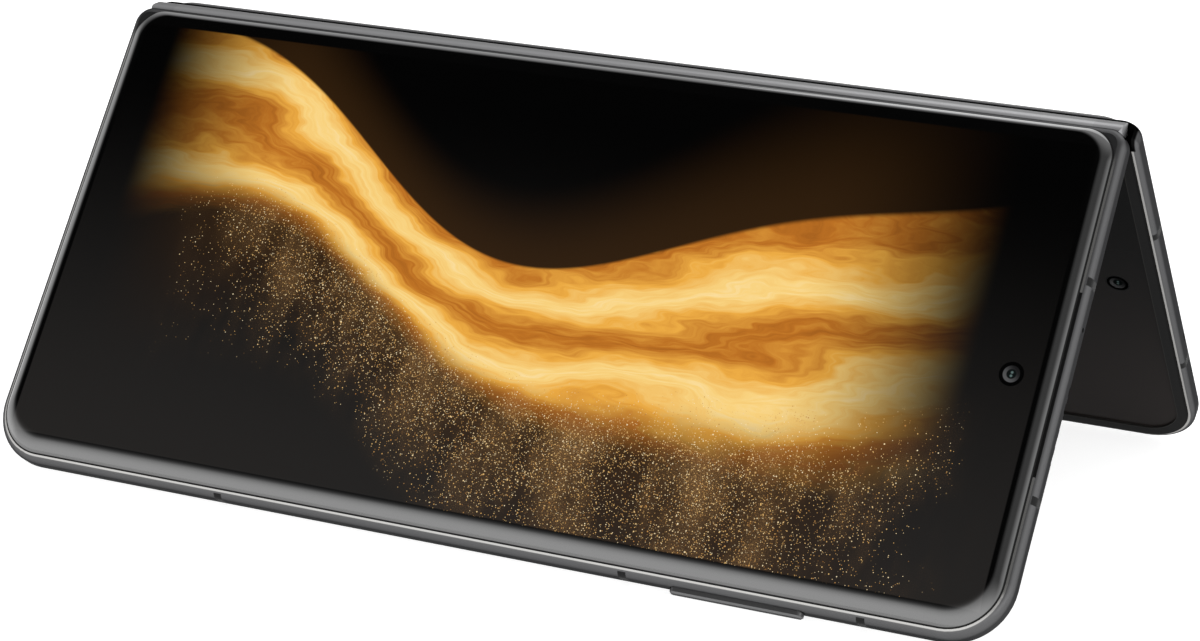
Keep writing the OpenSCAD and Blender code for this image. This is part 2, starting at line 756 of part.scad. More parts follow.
module earpiece_slit(extra = 0) {
    box(end_u - rail_lip - extra, end_u - rail_lip + slit_w, earpiece_mid - earpiece_slit_l / 2,
        earpiece_mid + earpiece_slit_l / 2, glass_seat, glass_split + extra);
}
tray_w = 1.85;                                 // SIM tray: height, thickness, size of the carrier
tray_h = 1.5;
tray_gap = 0.1;
carrier_w = 10;
carrier_t = 0.7;
module cover_frame() {
    color("dimgray") cover_side() difference() {
        half_frame();
        earpiece_slit(0.2);
        for (v = speaker_places) top_end_slot(v, 0.62, 1.5, 0.5, 0.7);
        end_hole(1, mic_place, 1.5, mic_r, 1.5);
        key_slot(volume_key_x, volume_key_l);
        bottom_end_slot(tray_v, tray_w, tray_cap_l + 2 * tray_gap, tray_h + 2 * tray_gap, rail_t + 0.4);
    }
}
module cover_glass() { color([0.05, 0.05, 0.06]) cover_side() glass_shell(); }
module cover_display_panel() {
    color([0.1, 0.1, 0.12]) cover_side() difference() {
        slab(panel_top - panel_t, panel_top) outline(glass_rim + 0.1);
        translate([cover_camera_x, cover_camera_v, 0]) cylinder(r = small_lens_r + 0.1, h = half_t);
    }
}
module cover_camera() {
    color([0.15, 0.15, 0.16]) cover_side()
        small_camera(cover_camera_x, cover_camera_v, plate_top, half_t - glass_t - 0.02);
}
// fine mesh in the slit between rail and glass, flush with the rail
module earpiece_mesh() {
    color([0.08, 0.08, 0.08]) cover_side() intersection() {
        earpiece_slit();
        along_v(0, half_w) translate([end_u, -0.05]) mirror([1, 0]) rail_profile();
    }
}
module earpiece() {
    color("gray") cover_side() part_box(top_parts_u - part_gap - earpiece_l, earpiece_mid - earpiece_w / 2,
        earpiece_l, earpiece_w, room_top);
}
module cover_antenna_bands() { color("gray") cover_side() antenna_bands(); }
module battery(from_u, to_u) {
    part_box(from_u, battery_v, to_u - from_u, battery_w, battery_top);
}
module cover_battery() {
    color([0.2, 0.2, 0.22]) cover_side() battery(cover_battery_from, cover_battery_to);
}
board_t = 0.6;
module sub_board() {
    u = cover_battery_to + 2 * part_gap;
    v = earpiece_mid + earpiece_w / 2 + 2 * part_gap;
    length = top_parts_u - part_gap - u;
    width = switch_v - part_gap - v;
    color("darkgreen") cover_side() {
        part_box(u, v, length, width, plate_top + board_t);
        box(u + 3, u + length - 8, v + 4, v + width - 7, plate_top + board_t - skin, plate_top + 1.5);
    }
}
module top_speaker() {
    color("gray") cover_side() part_box(top_parts_u + part_gap / 2, earpiece_mid + 3, speaker_l, speaker_w,
        room_top);
}
module vibration_motor() {
    color("silver") cover_side()
        part_box(cover_battery_to + 3 * part_gap, battery_v + part_gap, motor_l, motor_w, battery_top);
}
module volume_switch_flex() { color("darkorange") cover_side() switch_flex(volume_key_x, volume_key_l); }
module cover_bezel() { color([0.1, 0.1, 0.1]) cover_side() bezel(); }
module cover_inner_display() { color([0.12, 0.12, 0.13]) cover_side() flat_display(); }
screw_in = 8;                                  // rail to the screws near the corners
screw_low = room_low + 3.6;
screw_high = room_high - 4.9;
notch_screw_v = battery_v + board_w + 5;       // screw beside the main board
socket_gap = 0.6;
socket_wall = 0.9;
socket_end = socket_gap + socket_l - room_u;
half_socket = carrier_w / 2 + 0.3 + socket_wall;
module cover_screws() {
    top_u = room_u - screw_in;
    above_socket = (tray_v + half_socket + screw_high) / 2;
    color("silver") cover_side() {
        plate_screws([[top_u, screw_low], [top_u, screw_low + 10], [top_u, screw_high],
            [-top_u, screw_low], [-top_u, above_socket], [-top_u, screw_high]]);
        arm_screws(-1);
    }
}
module sim_socket() {
    color("silver") cover_side() difference() {
        part_box(socket_gap - room_u, tray_v - half_socket, socket_l, 2 * half_socket, battery_top);
        box(-end_u, socket_end - socket_wall, tray_v - carrier_w / 2 - 0.3, tray_v + carrier_w / 2 + 0.3,
            tray_w - carrier_t / 2 - 0.15, tray_w + carrier_t / 2 + 0.15);
    }
}
eject_v = tray_v + carrier_w / 2 + 0.4;
module sim_tray() {
    carrier_end = socket_end - socket_wall - 0.6;
    color("gray") cover_side() difference() {
        union() {
            intersection() {
                bottom_end_slot(tray_v, tray_w, tray_cap_l, tray_h, rail_t - 0.2);
                along_v(tray_v - tray_cap_l, tray_v + tray_cap_l) translate([-end_u, 0]) rail_profile();
            }
            box(rail_t - 0.4 - end_u, carrier_end, tray_v - carrier_w / 2, tray_v + carrier_w / 2,
                tray_w - carrier_t / 2, tray_w + carrier_t / 2);
        }
        box(2 - room_u, carrier_end - 2, tray_v - carrier_w / 2 + 0.6, tray_v + carrier_w / 2 - 0.6,
            tray_w - 0.1, tray_w + cut);
        end_hole(-1, eject_v, tray_w, eject_r, rail_t);
    }
}
module volume_key() { color("gray") cover_side() key(volume_key_x, volume_key_l, volume_key_out); }

// ---- half with the rear cameras ----
power_key_x = end_u - power_key_in;
inner_camera_x = end_u - inner_camera_in;
port_mid = 1.82;
port_back = port_depth - end_u;                // inner end of the port's mouth
port_side = port_mouth_w / 2 + 0.4;
port_block_l = 2.8;
bottom_slot_pitch = 2.2;
top_slot_v = 48.3;                             // sound slot in the top end rail, and from it to the microphone
top_mic_step = 8.3;
camera_battery_from = camera_bottom_zone - room_u;
camera_battery_to = room_u - camera_top_zone;

module camera_frame() {
    color("dimgray") camera_side() difference() {
        half_frame();
        bottom_end_slot(port_v, port_mid, port_mouth_w, port_mouth_h, port_depth);
        box(-room_u - skin, port_back + port_block_l + 0.2, port_v - port_side - 0.1, port_v + port_side + 0.1,
            inner_stack - skin, plate_top + skin);
        for (i = [0 : 3]) bottom_end_slot(port_v + 7.6 + i * bottom_slot_pitch, 1.6, 1.4, 0.8, 1.6);
        end_hole(-1, port_v - 7.5, 1.6, mic_r, 1.6);
        top_end_slot(top_slot_v, 2.15, 1.6, 0.5, 1.4);
        end_hole(1, top_slot_v + top_mic_step, 2.2, mic_r, 1.6);
        key_slot(power_key_x, power_key_l);
        inner_camera_hole();
    }
}
module inner_camera_hole() {
    translate([inner_camera_x, inner_camera_v, -cut]) cylinder(r = small_lens_r + 0.1, h = plate_top + 2 * cut);
}
module rear_glass() {
    color([0.16, 0.16, 0.17]) camera_side() difference() {
        glass_shell();
        slab(0, half_t + cut) deck_plan(0.1);
    }
}
deck_x = end_u - deck_end_gap - deck_l / 2;
deck_v = half_w - deck_edge_gap - deck_w / 2;
deck_top = half_t + deck_h;
deck_low = glass_seat + 0.1;
deck_edge_r = 0.8;                             // rounding of the deck's edge
window_t = 0.6;
window_low = deck_top - 0.8;
ledge_w = 0.5;                                 // ledge under each camera window
barrel_r = lens_r - ledge_w - 0.1;
flash_r = 1.9;
module deck_plan(grow = 0) {
    r = deck_corner_r + grow;
    x1 = deck_l / 2 - deck_corner_r;
    y1 = deck_w / 2 - deck_corner_r;
    translate([deck_x, deck_v]) {
        for (sx = [-1, 1], sy = [-1, 1]) translate([sx * x1, sy * y1]) circle(r);
        square([2 * (x1 + r), 2 * y1], center = true);
        square([2 * x1, 2 * (y1 + r)], center = true);
    }
}
// section of the deck from its outline inwards, with a rounded upper edge
module deck_section() {
    intersection() {
        union() {
            translate([deck_edge_r, deck_top - deck_edge_r]) circle(deck_edge_r);
            translate([0, deck_low]) square([deck_corner_r, deck_top - deck_edge_r - deck_low]);
            translate([deck_edge_r, deck_low]) square([deck_corner_r - deck_edge_r, deck_top - deck_low]);
        }
        square([deck_corner_r, deck_top]);
    }
}
module deck_body() {
    x1 = deck_l / 2 - deck_corner_r;
    y1 = deck_w / 2 - deck_corner_r;
    translate([deck_x, deck_v, 0]) {
        for (turn = [0, 180]) rotate([0, 0, turn]) {
            translate([x1, y1, 0]) deck_corner();
            translate([-x1, y1, 0]) rotate([0, 0, 90]) deck_corner();
            along_x(-x1, x1) translate([y1 + deck_corner_r, 0]) mirror([1, 0]) deck_section();
            along_v(-y1, y1) translate([x1 + deck_corner_r, 0]) mirror([1, 0]) deck_section();
        }
        box(-x1 - skin, x1 + skin, -y1 - skin, y1 + skin, deck_low, deck_top);
    }
}
module deck_corner() {
    rotate_extrude(angle = 90) translate([deck_corner_r, 0]) mirror([1, 0]) deck_section();
}
module at_lens(i) {
    translate([deck_x + (i - 1) * lens_pitch, deck_v + (i == 1 ? lens_stagger - 4 : -4), 0]) children();
}
module at_flash() {
    translate([deck_x - lens_pitch, deck_v + 8, 0]) children();
}
module camera_deck() {
    color("gray") camera_side() difference() {
        deck_body();
        for (i = [0 : 2]) at_lens(i) {
            translate([0, 0, deck_low - cut]) cylinder(r = barrel_r + 0.1, h = deck_h + 3 * cut);
            translate([0, 0, window_low]) cylinder(r = lens_r, h = 2 * cut);
        }
        at_flash() translate([0, 0, deck_low - cut]) cylinder(r = flash_r, h = deck_h + 4 * cut);
    }
}
// camera module: housing, barrel with a stepped opening and the front lens at its bottom
module rear_camera(i, aperture) {
    top = window_low - fit;
    step_w = (barrel_r - 0.4 - aperture) / 2;
    bowl = aperture * 1.6;                     // radius of the lens's curve
    lens_low = top - 1.5;
    color([0.15, 0.15, 0.17]) camera_side() at_lens(i) {
        box(-barrel_r, barrel_r, -barrel_r, barrel_r, plate_top, deck_low - fit);
        translate([0, 0, deck_low - fit - skin]) rotate_extrude() difference() {
            square([barrel_r, top - deck_low + fit + skin]);
            translate([0, lens_low - deck_low]) square([aperture, 2 * cut]);
            translate([0, top - 1 - deck_low]) square([aperture + step_w, 2 * cut]);
            translate([0, top - 0.5 - deck_low]) square([aperture + 2 * step_w, 2 * cut]);
        }
        intersection() {
            translate([0, 0, lens_low + 0.5 - bowl]) sphere(bowl);
            translate([0, 0, lens_low - 0.2]) cylinder(r = aperture - fit, h = cut);
        }
    }
}
module main_camera() { rear_camera(0, 3.4); }
module wide_camera() { rear_camera(1, 2.4); }
module tele_camera() { rear_camera(2, 2.9); }
module rear_camera_windows() {
    color([0.3, 0.3, 0.33, 0.5]) camera_side() for (i = [0 : 2]) at_lens(i)
        translate([0, 0, window_low]) cylinder(r = lens_r - 0.03, h = window_t);
}
module flash_lens() {
    color("ivory") camera_side() at_flash() translate([0, 0, deck_low])
        cylinder(r = flash_r - 0.03, h = deck_top - deck_low - 0.15);
}
module inner_camera() {
    color([0.15, 0.15, 0.16]) camera_side() mirror([0, 0, 1])
        small_camera(inner_camera_x, inner_camera_v, -room_top, -inner_display_sink - 0.02);
}
board_end_gap = 4;
shield_wall = 0.3;
shield_in = [6, 2];                            // shield inside the board's edge, along u and v
module main_board() {
    u = camera_battery_to + part_gap;
    color("darkgreen") camera_side()
        part_box(u, battery_v, room_u - board_end_gap - u, board_w, plate_top + board_t);
}
module board_shield() {
    u0 = camera_battery_to + part_gap + shield_in[0];
    u1 = room_u - board_end_gap - shield_in[0];
    low = battery_v + shield_in[1];
    high = battery_v + board_w - shield_in[1];
    color("silver") camera_side() difference() {
        box(u0, u1, low, high, plate_top + board_t, battery_top);
        box(u0 + shield_wall, u1 - shield_wall, low + shield_wall, high - shield_wall, plate_top,
            battery_top - shield_wall);
    }
}
module camera_battery() {
    color([0.2, 0.2, 0.22]) camera_side() battery(camera_battery_from, camera_battery_to);
}
module charging_coil() {
    color("peru") camera_side()
        translate([(camera_battery_from + camera_battery_to) / 2, battery_v + battery_w / 2, battery_top + fit])
            rotate_extrude() translate([coil_r / 2, 0]) square([coil_r / 2, 0.4]);
}
// side walls and back of the port, with the contact tongue in the middle of its mouth
module charging_port() {
    tongue_w = 6.7;
    color("silver") camera_side() {
        difference() {
            box(0.1 - room_u, port_back + port_block_l, port_v - port_side, port_v + port_side,
                inner_stack + 0.02, room_top);
            bottom_end_slot(port_v, port_mid, port_mouth_w, port_mouth_h, port_depth);
        }
        box(0.8 - end_u, port_back + skin, port_v - tongue_w / 2, port_v + tongue_w / 2,
            port_mid - 0.35, port_mid + 0.35);
    }
}
module bottom_speaker() {
    v = port_v + port_side + 3 * part_gap;
    color("gray") camera_side()
        part_box(part_gap - room_u, v, 2 * speaker_l, room_high - 4 * part_gap - v, room_top);
}
module power_switch_flex() { color("darkorange") camera_side() switch_flex(power_key_x, power_key_l); }
module camera_antenna_bands() { color("gray") camera_side() antenna_bands(); }
module camera_bezel() { color([0.1, 0.1, 0.1]) camera_side() bezel(); }
module camera_inner_display() {
    color([0.12, 0.12, 0.13]) camera_side() difference() {
        flat_display();
        inner_camera_hole();
    }
}
module camera_screws() {
    first_u = camera_battery_to + 6;
    low_u = screw_in + 2 - room_u;
    color("silver") camera_side() {
        plate_screws([[first_u, notch_screw_v], [first_u, screw_high], [room_u - 1.8, screw_low],
            [low_u, screw_low], [low_u, screw_low + 12], [camera_battery_from - 3, room_high - 2]]);
        arm_screws(1);
    }
}
module power_key() { color("gray") camera_side() key(power_key_x, power_key_l, power_key_out); }

cover_frame();
cover_glass();
cover_display_panel();
cover_camera();
earpiece_mesh();
earpiece();
cover_antenna_bands();
cover_battery();
sub_board();
top_speaker();
vibration_motor();
volume_switch_flex();
cover_bezel();
cover_inner_display();
cover_screws();
cover_hinge_arm_top();
cover_hinge_arm_middle();
cover_hinge_arm_bottom();
camera_frame();
rear_glass();
camera_deck();
main_camera();
wide_camera();
tele_camera();
rear_camera_windows();
flash_lens();
inner_camera();
main_board();
board_shield();
camera_battery();
charging_coil();
charging_port();
bottom_speaker();
sim_socket();
power_switch_flex();
camera_antenna_bands();
camera_bezel();
camera_inner_display();
camera_screws();
camera_hinge_arm_top();
camera_hinge_arm_middle();
camera_hinge_arm_bottom();
spine_cover();
spine_end_caps();
hinge_block_top();
hinge_block_middle();
hinge_block_bottom();
hinge_block_screws();
hinge_flex_cable();
inner_display_fold();
cover_support_wing();
camera_support_wing();
volume_key();
power_key();
sim_tray();
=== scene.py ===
"""Looks of the folding smartphone that stands as a tent: finishes, curved glasses, screens and studio."""
import json
import math

import bmesh
import bpy
from mathutils import Matrix, Vector

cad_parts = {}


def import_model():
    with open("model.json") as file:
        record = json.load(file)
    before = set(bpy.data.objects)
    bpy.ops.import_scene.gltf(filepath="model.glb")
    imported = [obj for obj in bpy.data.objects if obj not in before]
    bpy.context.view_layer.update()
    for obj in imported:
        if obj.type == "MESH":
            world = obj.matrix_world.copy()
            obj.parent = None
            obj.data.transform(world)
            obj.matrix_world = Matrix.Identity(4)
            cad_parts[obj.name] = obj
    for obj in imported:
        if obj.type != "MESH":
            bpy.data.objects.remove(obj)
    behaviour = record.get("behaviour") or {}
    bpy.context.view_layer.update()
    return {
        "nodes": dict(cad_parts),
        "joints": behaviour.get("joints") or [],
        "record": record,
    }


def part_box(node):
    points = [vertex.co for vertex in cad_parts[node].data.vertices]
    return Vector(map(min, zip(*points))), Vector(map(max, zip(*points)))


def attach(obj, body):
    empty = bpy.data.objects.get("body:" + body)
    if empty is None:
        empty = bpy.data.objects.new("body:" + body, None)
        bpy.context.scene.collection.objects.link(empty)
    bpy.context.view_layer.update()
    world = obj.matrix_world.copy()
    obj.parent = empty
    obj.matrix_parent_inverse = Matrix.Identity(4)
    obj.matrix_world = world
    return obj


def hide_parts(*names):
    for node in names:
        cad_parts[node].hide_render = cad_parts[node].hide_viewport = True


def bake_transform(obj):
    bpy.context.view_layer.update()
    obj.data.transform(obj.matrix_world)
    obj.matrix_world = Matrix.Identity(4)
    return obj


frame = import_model()
NODES = frame["nodes"]
JOINTS = {j["name"]: j for j in frame["joints"]}
MM = 0.001

# ---- driving sizes, in millimetres, as the solids have them ----
BODY_L = 156.6                      # a half along the hinge
HALF_W = 73.2                       # a half from the hinge to its free edge
HALF_T = 4.35
HALF_ANGLE = math.radians(37.2)     # between a half and the upright
AXIS_GAP = 1.0
CLOSED_GAP = 0.5
OPEN_GAP = 0.1
FREE_R = 8.5                        # corners of a half at its free edge
HINGE_R = 2.75                      # corners and edge of a half at the hinge
CHANNEL_R = 2.48                    # hollow round the spine

RAIL_LIP = 1.1                      # from the outline to the glass
HINGE_LIP = 0.65
GLASS_GAP = 0.05
GLASS_INSET = RAIL_LIP + GLASS_GAP
GLASS_HINGE_R = 4.4
CORNER_LOSS = 1.5                   # by how much the corners tighten up to the flat part
HINGE_CORNER_LOSS = 0.4
GLASS_FALL = 0.9                    # how far the curved edges come down
GLASS_T = 0.55
GLASS_RIM = 3.0
GLASS_UNDER_R = 0.3
GLASS_EDGE = 0.35
GLASS_LEVELS = 14                   # rings of points over the curved edge
CORNER_STEPS = 20                   # points round a corner
FREE_BAND = 3.2                     # widths of the curved edges
END_BAND = 1.9
HINGE_BAND = 1.2
CUT_EDGE = 0.19                     # dark edge where the glass is cut

DISPLAY_SINK = 0.1                  # inner display below the inner face of a half
DISPLAY_T = 0.4
FOLD_EDGE = 9.2
FOLD_END = 75.5
FLEX_X = 27.0
FLEX_HALF_W = 5
FLEX_T = 0.12
FLEX_REACH = 11.4                   # flex cable from the middle of the spine into a half
FLEX_LOW = 0.55                     # height of the flex cable over the axes, in the spine
FLEX_RISE = 1.1
FLEX_RISE_FROM, FLEX_RISE_OVER = 1.0, 3.5
BEZEL_INNER = 2.7                   # outline of a half to the inner display
BEZEL_SEAM = 1.31                   # outline of a half to the bezel
POLISHED_IN = 0.67                  # outline of a half to the polished inner lip
POLISHED_DEPTH = 0.18

INNER_CAMERA = (BODY_L / 2 - 7.5, 34.4)
OUTER_CAMERA = (BODY_L / 2 - 7.1, 36.9)
DISC_R, BARREL_R, LENS_R, GLINT_R = 1.70, 1.17, 0.68, 0.17
# offsets from the lens centre of the two painted glints
GLINTS = ((0.05, -0.22), (0.0, 0.26))

DECK_MIDDLE = (BODY_L / 2 - 7.3 - 24.0, HALF_W - 10.2 - 13.0)
LENS_PITCH = 14.5
LENS_STEPS = ((-1, -4), (0, 5), (1, -4))    # pitches along the hinge and mm away from it
LENS_CENTRES = [(DECK_MIDDLE[0] + i * LENS_PITCH, DECK_MIDDLE[1] + rise) for i, rise in LENS_STEPS]
REAR_LENS_R = 2.3

# ---- the two halves ----
COVER, CAMERA, BOTH = -1, 1, 0
AXIS_V = AXIS_GAP / 2
AXIS_W = AXIS_V - CLOSED_GAP / 2
AXIS_Z = JOINTS["camera_hinge"]["pos_m"][2] / MM
SIN_H, COS_H = math.sin(HALF_ANGLE), math.cos(HALF_ANGLE)
OPEN_TURN = math.pi / 2 - HALF_ANGLE

# ---- metals and mouldings ----
GRAPHITE = (0.105, 0.105, 0.107)
POLISHED = (0.36, 0.355, 0.345)
# black painted as shade into the hollow round the spine
HOLLOW_SHADE_BLACK = (0.004, 0.004, 0.004)
METAL_GRAIN, METAL_CLOUDS = 9000.0, 60.0    # scales of the noise, for each metre
METAL_DEPTH = 0.000004
MOULD_GRAIN, MOULD_CLOUDS = 6000.0, 90.0
MOULD_DEPTH = 0.000006
MOULD_SPREAD = 0.08                 # how far a moulded colour varies
DARK_EDGE = 0.25                    # how much most metals mirror at a glancing angle
SPINE_EDGE = 0.7


def place(side, u, v, w):
    """A point of a half (u along the hinge, v from the hinge, w through the half, in mm) in the row frame."""
    y = AXIS_V + (v - AXIS_V) * SIN_H + (w - AXIS_W) * COS_H
    z = AXIS_Z - (v - AXIS_V) * COS_H + (w - AXIS_W) * SIN_H
    return Vector((u, side * y, z)) * MM


def half_matrix(side):
    """Matrix that takes u, v, w in mm to the row frame in metres."""
    origin = place(side, 0, 0, 0)
    columns = [place(side, *axis) - origin for axis in ((1, 0, 0), (0, 1, 0), (0, 0, 1))]
    m = Matrix.Identity(4)
    for i, column in enumerate(columns):
        for j in range(3):
            m[j][i] = column[j]
    m.translation = origin
    return m


def scaled(colour, factor):
    """A colour made darker or lighter, up to white."""
    return tuple(min(1.0, c * factor) for c in colour)


# ---- node trees written as formulas ----
class Tree:
    """The node tree of a material or of the world, with short ways to add nodes."""

    SOCKETS = {
        "colour": "Base Color", "metal": "Metallic", "rough": "Roughness", "coat": "Coat Weight",
        "coat_rough": "Coat Roughness", "coat_ior": "Coat IOR", "ior": "IOR", "clear": "Transmission Weight",
        "specular": "Specular IOR Level", "edge_tint": "Specular Tint",
        "glow": "Emission Color", "glow_strength": "Emission Strength",
    }

    def __init__(self, owner):
        owner.use_nodes = True
        self.owner = owner
        self.nodes = owner.node_tree.nodes
        self.links = owner.node_tree.links
        self.shader = self.nodes.get("Principled BSDF") or self.nodes.get("Background")

    def put(self, socket, value):
        if hasattr(value, "is_output"):
            self.links.new(value, socket)
        elif value is not None:
            socket.default_value = value

    def set(self, **values):
        """Fills the sockets of the main shader and gives back the material."""
        for key, value in values.items():
            if isinstance(value, tuple) and len(value) == 3:
                value = (*value, 1.0)
            self.put(self.shader.inputs[self.SOCKETS[key]], value)
        return self.owner

    def math(self, kind, a, b=None):
        node = self.nodes.new("ShaderNodeMath")
        node.operation = kind
        for socket, value in zip(node.inputs, (a, b)):
            self.put(socket, value)
        return node.outputs[0]

    def add(self, a, b):
        return self.math("ADD", a, b)

    def sub(self, a, b):
        return self.math("SUBTRACT", a, b)

    def mul(self, *factors):
        product = factors[0]
        for factor in factors[1:]:
            product = self.math("MULTIPLY", product, factor)
        return product

    def sin(self, a):
        return self.math("SINE", a)

    def absolute(self, a):
        return self.math("ABSOLUTE", a)

    def least(self, a, b):
        """The lesser of two values, or the second where there is no first."""
        return b if a is None else self.math("MINIMUM", a, b)

    def most(self, a, b):
        return self.math("MAXIMUM", a, b)

    def length(self, x, y):
        return self.math("SQRT", self.add(self.mul(x, x), self.mul(y, y)))

    def step(self, value, low, high):
        """0 below low, 1 above high, smooth between; falls where low is above high."""
        node = self.nodes.new("ShaderNodeMapRange")
        node.interpolation_type = "SMOOTHSTEP"
        flip = low > high
        self.put(node.inputs["Value"], value)
        self.put(node.inputs["From Min"], min(low, high))
        self.put(node.inputs["From Max"], max(low, high))
        self.put(node.inputs["To Min"], 1.0 if flip else 0.0)
        self.put(node.inputs["To Max"], 0.0 if flip else 1.0)
        return node.outputs["Result"]

    def above(self, value, limit, soft):
        """1 above a limit and 0 below it, smooth over soft on each side."""
        return self.step(value, limit - soft, limit + soft)

    def below(self, value, limit, soft):
        """1 below a limit and 0 above it, smooth over soft on each side."""
        return self.step(value, limit + soft, limit - soft)

    def noise(self, vector, scale, detail=3.0, rough=0.5):
        node = self.nodes.new("ShaderNodeTexNoise")
        self.put(node.inputs["Vector"], vector)
        node.inputs["Scale"].default_value = scale
        node.inputs["Detail"].default_value = detail
        node.inputs["Roughness"].default_value = rough
        return node.outputs["Fac"]

    def dots(self, vector, scale):
        """Distance to the nearest of many scattered points, and a random colour for each."""
        node = self.nodes.new("ShaderNodeTexVoronoi")
        self.put(node.inputs["Vector"], vector)
        node.inputs["Scale"].default_value = scale
        return node.outputs["Distance"], node.outputs["Color"]

    def xyz(self, vector):
        node = self.nodes.new("ShaderNodeSeparateXYZ")
        self.put(node.inputs[0], vector)
        return node.outputs

    def vector(self, x, y, z=0.0):
        node = self.nodes.new("ShaderNodeCombineXYZ")
        for socket, value in zip(node.inputs, (x, y, z)):
            self.put(socket, value)
        return node.outputs[0]

    def mix(self, factor, a, b):
        node = self.nodes.new("ShaderNodeMix")
        node.data_type = "RGBA"
        self.put(node.inputs["Factor"], factor)
        for socket, value in zip(node.inputs[6:8], (a, b)):
            self.put(socket, value if hasattr(value, "is_output") else (*value, 1.0))
        return node.outputs[2]

    def ramp(self, factor, stops):
        node = self.nodes.new("ShaderNodeValToRGB")
        elements = node.color_ramp.elements
        while len(elements) < len(stops):
            elements.new(0.5)
        for element, (position, colour) in zip(elements, stops):
            element.position = position
            element.color = (*colour, 1.0)
        self.put(node.inputs[0], factor)
        return node.outputs[0]

    def bump(self, height, distance, strength):
        node = self.nodes.new("ShaderNodeBump")
        node.inputs["Strength"].default_value = strength
        node.inputs["Distance"].default_value = distance
        self.put(node.inputs["Height"], height)
        self.put(self.shader.inputs["Normal"], node.outputs[0])

    def object_place(self):
        return self.nodes.new("ShaderNodeTexCoord").outputs["Object"]

    def half_place(self, side):
        """u, v and w in mm on a half, from the place in the row frame; BOTH serves the two halves."""
        x, y, z = self.xyz(self.object_place())
        outwards = self.mul(y, side) if side else self.absolute(y)
        across = self.sub(self.mul(outwards, 1 / MM), AXIS_V)
        height = self.sub(self.mul(z, 1 / MM), AXIS_Z)
        v = self.add(AXIS_V, self.sub(self.mul(across, SIN_H), self.mul(height, COS_H)))
        w = self.add(AXIS_W, self.add(self.mul(across, COS_H), self.mul(height, SIN_H)))
        return self.mul(x, 1 / MM), v, w

    def glass_place(self):
        """u and v in mm on a curved glass."""
        node = self.nodes.new("ShaderNodeUVMap")
        node.uv_map = "plan"
        u, v, _ = self.xyz(node.outputs[0])
        return u, v

    def from_point(self, u, v, point):
        """Distance in mm from a point of the plan."""
        return self.length(self.sub(u, point[0]), self.sub(v, point[1]))

    def from_outline(self, u, v, free_r, hinge_r, end_in=0.0, hinge_in=0.0, free_in=0.0):
        """Distance in mm inwards from a rounded plan, each side of it drawn in by its own amount."""
        span = self.absolute(u)
        nearest = None
        for r, past_side in ((free_r, self.sub(v, HALF_W - free_in - free_r)),
                             (hinge_r, self.sub(OPEN_GAP / 2 + hinge_in + hinge_r, v))):
            past_end = self.sub(span, BODY_L / 2 - end_in - r)
            past = self.length(self.most(past_end, 0.0), self.most(past_side, 0.0))
            nearest = self.least(nearest, self.sub(r, past))
        return nearest


def surface(name):
    """The node tree of a new material."""
    return Tree(bpy.data.materials.new(name))


# ---- finishes of the frames, keys and inner parts ----
def metal(name, colour, rough, grain=0.05, along=(1, 1, 1), edge=DARK_EDGE):
    """Blasted or brushed metal: fine grain in colour, gloss and height."""
    t = surface(name)
    x, y, z = t.xyz(t.object_place())
    spot = t.vector(t.mul(x, along[0]), t.mul(y, along[1]), t.mul(z, along[2]))
    fine = t.noise(spot, METAL_GRAIN, 3.0, 0.6)
    broad = t.noise(spot, METAL_CLOUDS, 3.0)
    t.bump(fine, METAL_DEPTH, 0.35)
    return t.set(
        colour=t.mix(fine, scaled(colour, 1 - grain), scaled(colour, 1 + grain)),
        metal=1.0, rough=t.add(rough - 0.04, t.mul(broad, 0.08)), edge_tint=(edge,) * 3)


def moulded(name, colour, rough, coat=0.0, depth=MOULD_DEPTH, grain=MOULD_GRAIN, specular=0.5):
    """Moulded polymer or wrap with a fine surface."""
    t = surface(name)
    spot = t.object_place()
    fine = t.noise(spot, grain, 3.0, 0.6)
    broad = t.noise(spot, MOULD_CLOUDS, 2.0)
    t.bump(fine, depth, 0.3)
    return t.set(
        colour=t.mix(broad, scaled(colour, 1 - MOULD_SPREAD), scaled(colour, 1 + MOULD_SPREAD)),
        rough=t.add(rough - 0.03, t.mul(broad, 0.06)), coat=coat, coat_rough=0.05, specular=specular)


def rail_metal():
    """Satin graphite rail; the cut edges beside the inner display and beside the outer glass are polished.
    Inside the hollow round the spine, and on a thin band of the lip ends beside it, the rail is painted black
    as painted shade.
    """
    t = surface("graphite_rail")
    spot = t.object_place()
    u, v, w = t.half_place(BOTH)
    fine = t.noise(spot, METAL_GRAIN, 3.0, 0.6)
    broad = t.noise(spot, METAL_CLOUDS, 3.0)
    inwards = t.from_outline(u, v, FREE_R, HINGE_R)
    inner_lip = t.mul(t.below(w, POLISHED_DEPTH, 0.06), t.above(inwards, POLISHED_IN, 0.07))
    beside_glass = t.above(w, HALF_T - GLASS_FALL - 0.10, 0.03)
    clear_of_hinge = t.step(v, HINGE_R + 1.0, HINGE_R + 4.0)
    polished = t.most(inner_lip, t.mul(beside_glass, clear_of_hinge))
    # painted shade: the rail's faces within the hollow round the spine, and a thin band of the lip ends beside
    # it, are coloured black
    from_axis = t.from_point(v, w, (AXIS_V, AXIS_W))
    short_of_end = t.below(t.absolute(u), BODY_L / 2 - 0.4, 0.1)
    hollow = t.mul(t.below(from_axis, CHANNEL_R + 0.13, 0.02), short_of_end)
    t.bump(fine, METAL_DEPTH, 0.3)
    satin = t.mix(fine, scaled(GRAPHITE, 0.95), scaled(GRAPHITE, 1.05))
    return t.set(
        colour=t.mix(hollow, t.mix(polished, satin, POLISHED), HOLLOW_SHADE_BLACK), metal=1.0,
        rough=t.sub(t.add(0.30, t.mul(broad, 0.08)), t.mul(polished, 0.14)), edge_tint=(DARK_EDGE,) * 3)


